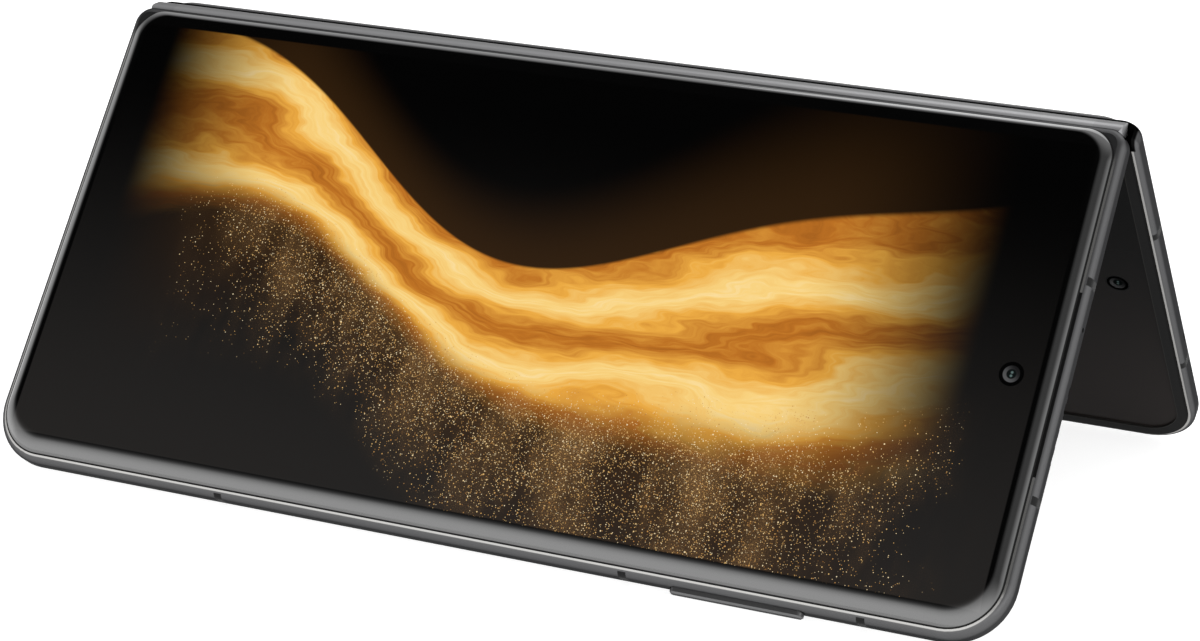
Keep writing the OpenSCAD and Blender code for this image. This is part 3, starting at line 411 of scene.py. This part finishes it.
def bezel_polymer():
    """Black bezel strip with a painted highlight, a thin lighter line beside the inner display where its
    chamfer would catch the light, and a seam beside the rail.
    """
    t = surface("bezel_black")
    u, v, _ = t.half_place(BOTH)
    fine = t.noise(t.object_place(), MOULD_GRAIN, 3.0, 0.6)
    inwards = t.from_outline(u, v, FREE_R, HINGE_R)
    # painted highlight: the thin lighter line at the inner edge stands in for light on the bezel's chamfer
    edge = t.above(inwards, BEZEL_INNER - 0.11, 0.03)
    seam = t.below(inwards, BEZEL_SEAM, 0.05)
    t.bump(fine, MOULD_DEPTH, 0.3)
    strip = t.mix(edge, (0.0065, 0.0065, 0.0065), (0.028, 0.027, 0.025))
    return t.set(colour=t.mix(seam, strip, (0.0003, 0.0003, 0.0003)), rough=0.45, specular=0.05)


def circuit_board():
    """Green board with copper tracks and pads under the lacquer."""
    t = surface("circuit_board")
    spot = t.object_place()
    distance, _ = t.dots(spot, 700.0)
    tracks = t.step(t.sin(t.mul(t.xyz(spot)[0], 9000.0)), 0.7, 0.9)
    pads = t.step(distance, 0.25, 0.2)
    base = t.mix(tracks, (0.012, 0.07, 0.035), (0.02, 0.12, 0.05))
    return t.set(colour=t.mix(pads, base, (0.5, 0.36, 0.16)), rough=0.35, coat=0.3)


def copper_winding():
    """Copper coil: fine turns of wire round its centre."""
    t = surface("copper_winding")
    low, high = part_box("charging_coil")
    centre = (low + high) / 2
    x, y, z = t.xyz(t.object_place())
    r = t.length(t.sub(x, centre.x), t.mul(t.sub(z, centre.z), 1 / COS_H))
    turns = t.sin(t.mul(r, 12000.0))
    t.bump(turns, 0.00005, 0.8)
    wire = t.mix(t.step(turns, -1.0, 1.0), (0.45, 0.16, 0.06), (0.83, 0.42, 0.2))
    return t.set(colour=wire, metal=1.0, rough=0.3)


# ---- cameras ----
def camera_disc(t, u, v, centre):
    """Small camera as it shows in a display: black rim, grey barrel with painted light on one side, dark lens,
    two painted glints.

    Returns its colour and the mask of the whole disc."""
    du, dv = t.sub(u, centre[0]), t.sub(v, centre[1])
    r = t.length(du, dv)
    # painted light: the barrel is lighter on one side, as if lit from there
    lit = t.step(t.add(t.mul(du, -0.7), t.mul(dv, 0.7)), -1.0, 1.1)
    barrel = t.mix(lit, (0.010, 0.010, 0.0105), (0.085, 0.086, 0.088))
    colour = t.mix(t.below(r, BARREL_R, 0.05), (0.0004, 0.0004, 0.0004), barrel)
    colour = t.mix(t.below(r, LENS_R, 0.06), colour, (0.004, 0.006, 0.006))
    # painted highlights: two glints on the lens
    for point in GLINTS:
        glint = t.below(t.from_point(du, dv, point), GLINT_R, 0.09)
        colour = t.mix(glint, colour, (0.10, 0.15, 0.145))
    return colour, t.below(r, DISC_R, 0.04)


def small_camera():
    """Inner camera behind its window; the housing under the outer glass, which doesn't show, has it too."""
    t = surface("small_camera_black")
    u, v, _ = t.half_place(CAMERA)
    # colour with painted light: a lit side of the barrel and two glints
    colour, _ = camera_disc(t, u, v, INNER_CAMERA)
    rings = t.sin(t.mul(t.from_point(u, v, INNER_CAMERA), 40.0))
    t.bump(rings, 0.00001, 0.2)
    return t.set(colour=colour, rough=0.25, specular=0.0)


def rear_lens():
    """Rear cameras: ribbed black barrels round dark front lenses with a violet and green coating."""
    t = surface("rear_lens_black")
    u, v, _ = t.half_place(CAMERA)
    nearest = None
    for centre in LENS_CENTRES:
        nearest = t.least(nearest, t.from_point(u, v, centre))
    ribs = t.sin(t.mul(nearest, 30.0))
    lens = t.below(nearest, REAR_LENS_R, 0.2)
    t.bump(t.mul(ribs, t.sub(1.0, lens)), 0.00003, 0.5)
    barrel = t.mix(t.step(ribs, -1.0, 1.0), (0.003, 0.003, 0.003), (0.012, 0.012, 0.013))
    coating = t.mix(t.step(nearest, 1.6, 0.2), (0.02, 0.012, 0.05), (0.004, 0.022, 0.02))
    return t.set(colour=t.mix(lens, barrel, coating), rough=0.2, specular=0.15)


def lens_window():
    """Tinted glass over the rear cameras, with the faintest wiping marks."""
    t = surface("lens_cover_glass")
    marks = t.noise(t.object_place(), 400.0, 3.0)
    return t.set(colour=(0.55, 0.57, 0.6), clear=1.0, rough=t.mul(marks, 0.03), ior=1.25)


# ---- wallpaper of the outer display ----
SILK_MIDDLE = 31.0                  # from the hinge to the middle of the silk, without its waves
SILK_HALF = 15.0                    # from its middle to its edge, without its swell
SILK_WAVES = ((0.034, 0.9, 13.0), (0.083, 2.2, 3.0))    # turn for each mm, start and height of a wave
SILK_SWELL = (0.041, -0.7, 6.0)
SILK_STOPS = (
    (0.0, (0.20, 0.05, 0.006)), (0.25, (0.52, 0.17, 0.018)), (0.5, (0.86, 0.42, 0.06)),
    (0.75, (0.96, 0.66, 0.22)), (1.0, (1.0, 0.86, 0.55)))
DUST_STOPS = ((0.0, (0.45, 0.2, 0.05)), (0.6, (0.86, 0.55, 0.2)), (1.0, (1.0, 0.85, 0.55)))
DUST_SIZES = (                      # cells of a grain for each mm, its size in a cell, how many cells have one
    (4.2, 0.34, 0.8), (2.6, 0.30, 0.55), (1.5, 0.22, 0.3), (0.8, 0.13, 0.25))


def wave(t, u, shape):
    """Height in mm of one wave along the hinge."""
    turn, start, height = shape
    return t.mul(t.sin(t.add(t.mul(u, turn), start)), height)


def across_silk(t, u, v):
    """-1 at the upper edge of the silk and 1 at the lower."""
    middle = SILK_MIDDLE
    for shape in SILK_WAVES:
        middle = t.add(middle, wave(t, u, shape))
    half = t.add(SILK_HALF, wave(t, u, SILK_SWELL))
    return t.math("DIVIDE", t.sub(v, middle), half)


def silk_on_black(t, u, v, across):
    """Folded golden silk that runs across a dark ground and glows a little onto it."""
    warp = t.noise(t.vector(t.mul(u, 0.35), v), 0.06, 4.0, 0.55)
    folds_at = t.add(t.mul(across, 2.1), t.mul(warp, 3.4))
    folds = t.sin(t.mul(folds_at, 3.3))
    fine = t.noise(t.vector(t.mul(u, 0.12), t.mul(folds_at, 9.0)), 1.0, 5.0, 0.6)
    shade = t.add(t.add(0.5, t.mul(folds, 0.26)), t.mul(t.sub(fine, 0.5), 0.5))
    ends = t.mul(t.step(u, -70.0, -44.0), t.step(u, 66.0, 38.0))
    upper = t.step(across, -1.02, -0.97)
    lower = t.step(t.add(across, t.mul(fine, 0.25)), 1.12, 0.55)
    glow = t.mul(t.step(across, -2.2, -0.95), t.step(across, 2.6, 0.7), ends)
    ground = t.mix(t.step(v, 8.0, 74.0), (0.0003, 0.0003, 0.0003), (0.0185, 0.0172, 0.0164))
    ground = t.mix(t.mul(glow, 0.55), ground, (0.05, 0.022, 0.006))
    return t.mix(t.mul(upper, lower, ends), ground, t.ramp(shade, SILK_STOPS))


def with_dust(t, u, v, across, picture):
    """Gold dust over the picture, which thins out below the silk: a soft veil and grains of four sizes."""
    drift = t.mul(
        t.step(across, 0.25, 0.9), t.step(across, 3.1, 0.9), t.step(u, -62.0, -30.0), t.step(u, 74.0, 34.0))
    clumps = t.noise(t.vector(u, t.mul(v, 0.5)), 0.11, 3.0, 0.6)
    powder = t.step(t.noise(t.vector(u, v), 7.0, 2.0, 0.7), 0.44, 0.72)
    veil = t.mul(drift, t.step(clumps, 0.35, 0.75), t.add(0.12, t.mul(powder, 0.75)))
    picture = t.mix(veil, picture, (0.50, 0.27, 0.10))
    for scale, size, share in DUST_SIZES:
        distance, random = t.dots(t.vector(u, v), scale)
        chance, hue, _ = t.xyz(random)
        density = t.add(t.mul(drift, share), t.mul(t.sub(clumps, 0.5), 0.7))
        kept = t.step(t.sub(density, chance), 0.0, 0.04)
        grain = t.mul(t.step(distance, size, size * 0.45), kept, t.step(drift, 0.0, 0.1))
        picture = t.mix(grain, picture, t.ramp(hue, DUST_STOPS))
    return picture


def wallpaper(t, u, v):
    """Golden silk and gold dust on a dark ground."""
    across = across_silk(t, u, v)
    return with_dust(t, u, v, across, silk_on_black(t, u, v, across))


# ---- displays and glasses ----
LIT_FREE_IN, LIT_END_IN, LIT_HINGE_IN = 4.1, 3.4, 3.5       # outline of a half to the lit area
LIT_SOFT = 0.12
BORDER_BLACK = (0.0008, 0.0008, 0.0008)


def lit_area(t, u, v):
    """Mask of the part of the outer display that lights up."""
    return t.mul(
        t.above(v, LIT_HINGE_IN, LIT_SOFT),
        t.below(v, HALF_W - LIT_FREE_IN, LIT_SOFT),
        t.below(t.absolute(u), BODY_L / 2 - LIT_END_IN, LIT_SOFT))


def outer_display_glass():
    """Outer display: black border, lit wallpaper and the small camera painted into the glow with its painted
    lit side and glints, under glass that shines at its rim.
    """
    t = surface("outer_display_glass")
    u, v = t.glass_place()
    _, _, w = t.half_place(COVER)
    picture = t.mix(lit_area(t, u, v), BORDER_BLACK, wallpaper(t, u, v))
    camera, disc = camera_disc(t, u, v, OUTER_CAMERA)
    curved = t.below(w, HALF_T - 0.065, 0.055)
    inwards = t.from_outline(
        u, v, FREE_R - GLASS_INSET, GLASS_HINGE_R, GLASS_INSET, HINGE_LIP + GLASS_GAP, GLASS_INSET)
    cut_edge = t.below(inwards, CUT_EDGE, 0.05)
    smear = t.noise(t.vector(u, v), 0.05, 4.0, 0.6)
    # the small camera glows with the picture: its lit side and glints are painted light
    return t.set(
        colour=(0.001, 0.001, 0.001), ior=1.45,
        rough=t.add(t.add(0.05, t.mul(smear, 0.04)), t.mul(cut_edge, 0.9)),
        coat=t.mul(t.sub(1.0, cut_edge), t.add(0.1, t.mul(curved, 0.9))), coat_rough=0.05, coat_ior=2.0,
        glow=t.mix(disc, picture, camera), glow_strength=1.0)


def rear_glass():
    """Etched rear glass: satin graphite with a faint soft sheen."""
    t = surface("satin_rear_glass")
    u, v = t.glass_place()
    fine = t.noise(t.vector(u, v), 9.0, 3.0, 0.6)
    broad = t.noise(t.vector(u, v), 0.03, 3.0, 0.5)
    t.bump(fine, 0.000004, 0.25)
    return t.set(
        colour=t.mix(broad, (0.030, 0.030, 0.032), (0.042, 0.042, 0.045)),
        rough=t.add(0.30, t.mul(fine, 0.05)), coat=0.25, coat_rough=0.22)


def inner_display():
    """Flexible inner display, switched off: dark and softly glossy, with painted shading from near black at
    the hinge to lighter and warmer at the free edge, black round the small inner camera.
    """
    t = surface("flexible_display")
    u, v, _ = t.half_place(CAMERA)
    on_camera_half = t.step(t.xyz(t.object_place())[1], 0.0, 0.002)
    border = t.mul(t.below(t.from_point(u, v, INNER_CAMERA), 1.80, 0.06), on_camera_half)
    # painted shading: near black at the hinge, lighter and warmer towards the free edge
    shade = t.mix(t.step(v, 16.0, 76.0), (0.0010, 0.0010, 0.0010), (0.034, 0.028, 0.026))
    t.bump(t.noise(t.vector(u, v), 2.0, 2.0), 0.000003, 0.1)
    return t.set(colour=t.mix(border, shade, (0.0005, 0.0005, 0.0005)), rough=0.22, specular=0.03)


ALONG_HINGE = (0.05, 1, 1)          # brushed along the hinge
FINISHES = {
    "graphite_frame": rail_metal,
    "display_panel": lambda: moulded("panel_black", (0.02, 0.02, 0.022), 0.3),
    "flexible_display": inner_display,
    "bezel_polymer": bezel_polymer,
    "antenna_polymer": lambda: moulded("antenna_grey", (0.022, 0.022, 0.022), 0.5, specular=0.06),
    "polished_key": lambda: metal("key_metal", (0.17, 0.17, 0.172), 0.36),
    "tray_metal": lambda: metal("tray_metal", GRAPHITE, 0.34),
    "spine_metal": lambda: metal("spine_metal", (0.30, 0.30, 0.305), 0.3, along=(0.02, 1, 1), edge=SPINE_EDGE),
    "spine_cap_metal": lambda: metal("cap_metal", (0.27, 0.27, 0.275), 0.3, edge=SPINE_EDGE),
    "hinge_steel": lambda: metal("hinge_steel", (0.5, 0.5, 0.51), 0.28, 0.08, ALONG_HINGE),
    "wing_steel": lambda: metal("wing_steel", (0.45, 0.45, 0.46), 0.35, 0.08, ALONG_HINGE),
    "screw_steel": lambda: metal("screw_steel", (0.55, 0.55, 0.55), 0.25),
    "camera_housing": small_camera,
    "rear_camera_glass": rear_lens,
    "lens_glass": lens_window,
    "deck_metal": lambda: metal("deck_metal", (0.14, 0.14, 0.145), 0.3),
    "flash_polymer": lambda: moulded("flash_diffuser", (0.75, 0.66, 0.42), 0.25, coat=0.7),
    "mesh_black": lambda: moulded(
        "mesh_black", (0.002, 0.002, 0.002), 0.7, grain=9000.0, depth=0.00004, specular=0.1),
    "module_metal": lambda: metal("module_metal", (0.5, 0.5, 0.5), 0.35),
    "battery_wrap": lambda: moulded("battery_wrap", (0.03, 0.03, 0.032), 0.45),
    "circuit_board": circuit_board,
    "flex_polyimide": lambda: moulded("flex_polyimide", (0.45, 0.16, 0.02), 0.3, coat=0.4),
    "coil_copper": copper_winding,
    "port_metal": lambda: metal("port_metal", (0.4, 0.4, 0.41), 0.3),
}


def finish_nodes():
    """Gives every CAD node that stays its finish, by its slot in the record."""
    made = {}
    for part in frame["record"]["subparts"]:
        slot = part["material_slot"]
        if slot not in FINISHES:
            continue
        if slot not in made:
            made[slot] = FINISHES[slot]()
        data = NODES[part["node"]].data
        data.materials.clear()
        data.materials.append(made[slot])
    return made


# ---- meshes ----
def make_object(name, vertices, faces, matrix, material, uv, sharp_angle):
    """A closed, smoothly shaded mesh from plain lists; uv has one pair for each vertex."""
    mesh = bpy.data.meshes.new(name)
    mesh.from_pydata([matrix @ Vector(p) for p in vertices], [], faces)
    mesh.validate()
    layer = mesh.uv_layers.new(name="plan")
    for loop in mesh.loops:
        layer.data[loop.index].uv = uv[loop.vertex_index]
    for polygon in mesh.polygons:
        polygon.use_smooth = True
    mesh.materials.append(material)
    obj = bpy.data.objects.new(name, mesh)
    bpy.context.scene.collection.objects.link(obj)
    face_outwards(mesh)
    mesh.set_sharp_from_angle(angle=math.radians(sharp_angle))
    return obj


def face_outwards(mesh):
    """Turns the faces of a closed mesh outwards."""
    bm = bmesh.new()
    bm.from_mesh(mesh)
    bmesh.ops.recalc_face_normals(bm, faces=bm.faces)
    bm.to_mesh(mesh)
    bm.free()


def outline(free_in, end_in, hinge_in, free_r, hinge_r):
    """Rounded plan of a half, each side drawn in by its own amount, as points in order round it."""
    end = BODY_L / 2 - end_in
    free_v = HALF_W - free_in - free_r
    hinge_v = OPEN_GAP / 2 + hinge_in + hinge_r
    corners = (
        (end - free_r, free_v, free_r, 0),
        (-end + free_r, free_v, free_r, 90),
        (-end + hinge_r, hinge_v, hinge_r, 180),
        (end - hinge_r, hinge_v, hinge_r, 270),
    )
    points = []
    for cu, cv, r, start in corners:
        for i in range(CORNER_STEPS + 1):
            a = math.radians(start + 90 * i / CORNER_STEPS)
            points.append((cu + r * math.cos(a), cv + r * math.sin(a)))
    return points


def glass_ring(t):
    """Plan of the curved glass where t runs from 0 at its edge to 1 where it is flat."""
    return outline(
        GLASS_INSET + FREE_BAND * t, GLASS_INSET + END_BAND * t, HINGE_LIP + GLASS_GAP + HINGE_BAND * t,
        FREE_R - GLASS_INSET - CORNER_LOSS * t, GLASS_HINGE_R - HINGE_CORNER_LOSS * t)


def glass_rings():
    """Rings of points over a curved glass: its hollow underside, its seat, and its top from edge to flat."""
    seat = HALF_T - GLASS_FALL - GLASS_EDGE
    under = outline(GLASS_RIM, GLASS_RIM, GLASS_RIM, FREE_R - GLASS_RIM, GLASS_UNDER_R)
    levels = [(under, HALF_T - GLASS_T), (under, seat), (glass_ring(0), seat)]
    for i in range(GLASS_LEVELS + 1):
        t = i / GLASS_LEVELS
        levels.append((glass_ring(t), HALF_T - GLASS_FALL * (1 - t) ** 2))
    return [[(u, v, w) for u, v in plan] for plan, w in levels]


def skin(rings):
    """Faces that join rings of equally many points and close the first and the last."""
    count = len(rings[0])
    faces = [tuple(range(count))]
    for k in range(len(rings) - 1):
        a, b = k * count, (k + 1) * count
        for i in range(count):
            j = (i + 1) % count
            faces.append((a + j, a + i, b + i, b + j))
    last = (len(rings) - 1) * count
    faces.append(tuple(last + i for i in reversed(range(count))))
    return faces


def curved_glass(name, side, body, node, material):
    """Glass with its edges curved down on all four sides, hollow underneath as the solid is."""
    rings = glass_rings()
    vertices = [point for ring in rings for point in ring]
    plan = [(u, v) for u, v, w in vertices]
    obj = make_object(name, vertices, skin(rings), half_matrix(side), material, plan, 50)
    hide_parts(node)
    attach(obj, body)


# ---- pieces that bend at the hinge ----
BLEND_START = (0.0, -0.15)          # y and z from the height of the axes, in mm
BLEND_END = (2.2, -1.6)
BEND_COLUMNS = 24
FINE_STEP, FINE_COUNT = 0.12, 30    # spots near the axes, where a piece bends
WIDE_STEP, WIDE_COUNT = 0.7, 8
SEARCH_STEPS = 60


def smoothstep(x):
    x = min(1.0, max(0.0, x))
    return x * x * (3 - 2 * x)


def turned(y_open, z_open, share):
    """A point turned back from the flat open phone, by a share of the way to the tent."""
    angle = -OPEN_TURN * share
    ry, rz = y_open - AXIS_V, z_open
    return (AXIS_V + ry * math.cos(angle) - rz * math.sin(angle),
            ry * math.sin(angle) + rz * math.cos(angle))


def rest_place(y_open, z_open):
    """Where a point of a bending piece lies in the tent, from where it lies when the phone is flat open.
"""
    dy, dz = BLEND_END[0] - BLEND_START[0], BLEND_END[1] - BLEND_START[1]
    length_2 = dy * dy + dz * dz

    def miss(share):
        y, z = turned(y_open, z_open, share)
        return smoothstep(((y - BLEND_START[0]) * dy + (z - BLEND_START[1]) * dz) / length_2) - share

    if miss(1.0) >= -1e-9:
        return turned(y_open, z_open, 1.0)
    low, high = 0.0, 1.0
    for _ in range(SEARCH_STEPS):
        middle = (low + high) / 2
        if miss(middle) > 0:
            low = middle
        else:
            high = middle
    return turned(y_open, z_open, (low + high) / 2)


def ribbon_faces(columns, rows):
    """Faces of a closed ribbon whose points come column by column, row by row, lower before upper."""
    def index(i, k, top):
        return (i * rows + k) * 2 + top

    faces = []
    for i in range(columns):
        for k in range(rows - 1):
            faces.append((index(i, k, 0), index(i, k + 1, 0), index(i + 1, k + 1, 0), index(i + 1, k, 0)))
            faces.append((index(i, k, 1), index(i + 1, k, 1), index(i + 1, k + 1, 1), index(i, k + 1, 1)))
        for k in (0, rows - 1):
            faces.append((index(i, k, 0), index(i + 1, k, 0), index(i + 1, k, 1), index(i, k, 1)))
    for i in (0, columns):
        for k in range(rows - 1):
            faces.append((index(i, k, 0), index(i, k, 1), index(i, k + 1, 1), index(i, k + 1, 0)))
    return faces


def bending_piece(name, side, x0, x1, path, thickness, material, node):
    """A ribbon across the hinge, from the middle of the spine to one half.

    path gives y and z in the flat open phone, z from the height of the axes, on its lower face."""
    vertices, plan = [], []
    for i in range(BEND_COLUMNS + 1):
        x = x0 + (x1 - x0) * i / BEND_COLUMNS
        for y_open, z_open in path:
            for lift in (0.0, thickness):
                y, z = rest_place(y_open, z_open + lift)
                vertices.append((x, side * y, AXIS_Z + z))
                plan.append((x, y_open))
    faces = ribbon_faces(BEND_COLUMNS, len(path))
    obj = make_object(name, vertices, faces, Matrix.Scale(MM, 4), material, plan, 40)
    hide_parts(node)
    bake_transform(obj)


def fold_and_flex(made):
    """The folding part of the inner display and the flex cable under it, each as two bending ribbons."""
    face = DISPLAY_SINK - AXIS_W
    spots = [FINE_STEP * i for i in range(FINE_COUNT)]
    spots += [FINE_STEP * FINE_COUNT + WIDE_STEP * i for i in range(WIDE_COUNT)]
    spots.append(FOLD_EDGE)
    fold_path = [(s, face) for s in spots]
    flex_path = []
    for s in spots:
        rise = FLEX_RISE * smoothstep((s - FLEX_RISE_FROM) / FLEX_RISE_OVER)
        flex_path.append((s * FLEX_REACH / FOLD_EDGE, FLEX_LOW + rise))
    for side, word in ((COVER, "cover"), (CAMERA, "camera")):
        bending_piece(
            "fold_" + word, side, -FOLD_END, FOLD_END, fold_path, DISPLAY_T,
            made["flexible_display"], "inner_display_fold")
        bending_piece(
            "hinge_flex_" + word, side, FLEX_X - FLEX_HALF_W, FLEX_X + FLEX_HALF_W, flex_path, FLEX_T,
            made["flex_polyimide"], "hinge_flex_cable")


# ---- studio ----
FLOOR_HALF = 6.0                    # metres
FLOOR_LIFT = 0.82
BACKDROP = 0.25                     # even light of the whole room
FRONT_MIRROR = (-0.41, -0.53, 0.74)  # what the flat outer display mirrors towards the camera
GLOWS = (                           # bright sides of the room: direction, brightness, cosines at edge and full
    ((0.0, -0.605, -0.797), 1.6, -0.20, 0.42),
    ((0.0, 0.605, 0.797), 0.6, 0.45, 0.92),
    ((1.0, 0.0, 0.0), 1.25, 0.60, 0.96),
    ((-1.0, 0.0, 0.0), 0.8, 0.80, 1.0),
)
AZIMUTH, ELEVATION, ROLL = math.radians(25.68), math.radians(18.08), math.radians(0.63)
CAMERA_DISTANCE = 0.5051            # metres
CAMERA_AIM = (-1.12, 0, AXIS_Z + 0.245 - 37.83)     # mm
PHOTO_WIDTH, FOCAL_LENGTH = 1200, 3431              # both in pixels of the photograph
SENSOR_WIDTH = 36.0


def floor():
    """Pale floor that is white to the camera and in mirrors, except where the phone shades it."""
    corners = [(x * FLOOR_HALF, y * FLOOR_HALF, 0) for x, y in ((-1, -1), (1, -1), (1, 1), (-1, 1))]
    mesh = bpy.data.meshes.new("studio_floor")
    mesh.from_pydata(corners, [], [(0, 1, 2, 3)])
    t = surface("studio_floor")
    path = t.nodes.new("ShaderNodeLightPath")
    seen = t.most(path.outputs["Is Camera Ray"], path.outputs["Is Glossy Ray"])
    lift = t.mul(seen, FLOOR_LIFT)
    pale = t.set(colour=(0.8, 0.8, 0.8), rough=0.8, specular=0.05, glow=(1, 1, 1), glow_strength=lift)
    mesh.materials.append(pale)
    obj = bpy.data.objects.new("studio_floor", mesh)
    bpy.context.scene.collection.objects.link(obj)


def world():
    """White to the camera; a room with soft bright parts and a dark one that the outer display mirrors."""
    bpy.context.scene.world = bpy.data.worlds.new("studio")
    t = Tree(bpy.context.scene.world)
    direction = t.nodes.new("ShaderNodeTexCoord").outputs["Generated"]

    def towards(aim, end, full):
        node = t.nodes.new("ShaderNodeVectorMath")
        node.operation = "DOT_PRODUCT"
        t.put(node.inputs[0], direction)
        t.put(node.inputs[1], tuple(Vector(aim).normalized()))
        return t.step(node.outputs["Value"], end, full)

    light = t.mul(BACKDROP, t.sub(1.0, towards(FRONT_MIRROR, 0.85, 0.96)))
    for aim, brightness, end, full in GLOWS:
        light = t.add(light, t.mul(towards(aim, end, full), brightness))
    seen = t.nodes.new("ShaderNodeLightPath").outputs["Is Camera Ray"]
    t.put(t.shader.inputs["Strength"], t.most(light, seen))
    t.put(t.shader.inputs["Color"], (1, 1, 1, 1))


def softbox(name, location, target, width, height, power):
    light = bpy.data.lights.new(name, "AREA")
    light.shape = "RECTANGLE"
    light.size, light.size_y, light.energy = width, height, power
    obj = bpy.data.objects.new(name, light)
    bpy.context.scene.collection.objects.link(obj)
    obj.location = location
    obj.rotation_euler = (Vector(target) - Vector(location)).to_track_quat("-Z", "Y").to_euler()


def camera():
    """The photograph's viewpoint: a long lens from the front right, a little above."""
    away = math.cos(ELEVATION)
    forward = Vector((-math.sin(AZIMUTH) * away, math.cos(AZIMUTH) * away, -math.sin(ELEVATION)))
    level = Vector((math.cos(AZIMUTH), math.sin(AZIMUTH), 0))
    upright = level.cross(forward)
    right = level * math.cos(ROLL) + upright * math.sin(ROLL)
    up = upright * math.cos(ROLL) - level * math.sin(ROLL)
    data = bpy.data.cameras.new("photo_view")
    data.sensor_width = SENSOR_WIDTH
    data.lens = FOCAL_LENGTH / PHOTO_WIDTH * SENSOR_WIDTH
    data.clip_start = 0.01
    obj = bpy.data.objects.new("photo_view", data)
    bpy.context.scene.collection.objects.link(obj)
    turn = Matrix((right, up, -forward)).transposed()
    eye = Vector(CAMERA_AIM) * MM - forward * CAMERA_DISTANCE
    obj.matrix_world = Matrix.Translation(eye) @ turn.to_4x4()
    bpy.context.scene.camera = obj


made = finish_nodes()
curved_glass("outer_glass", COVER, "cover_half", "cover_glass", outer_display_glass())
curved_glass("rear_glass_curved", CAMERA, "camera_half", "rear_glass", rear_glass())
fold_and_flex(made)
floor()
world()
softbox("overhead", (0.15, 0.75, 0.85), (0, 0, 0.03), 1.2, 0.7, 3.0)
camera()
bpy.context.scene.view_settings.view_transform = "Standard"
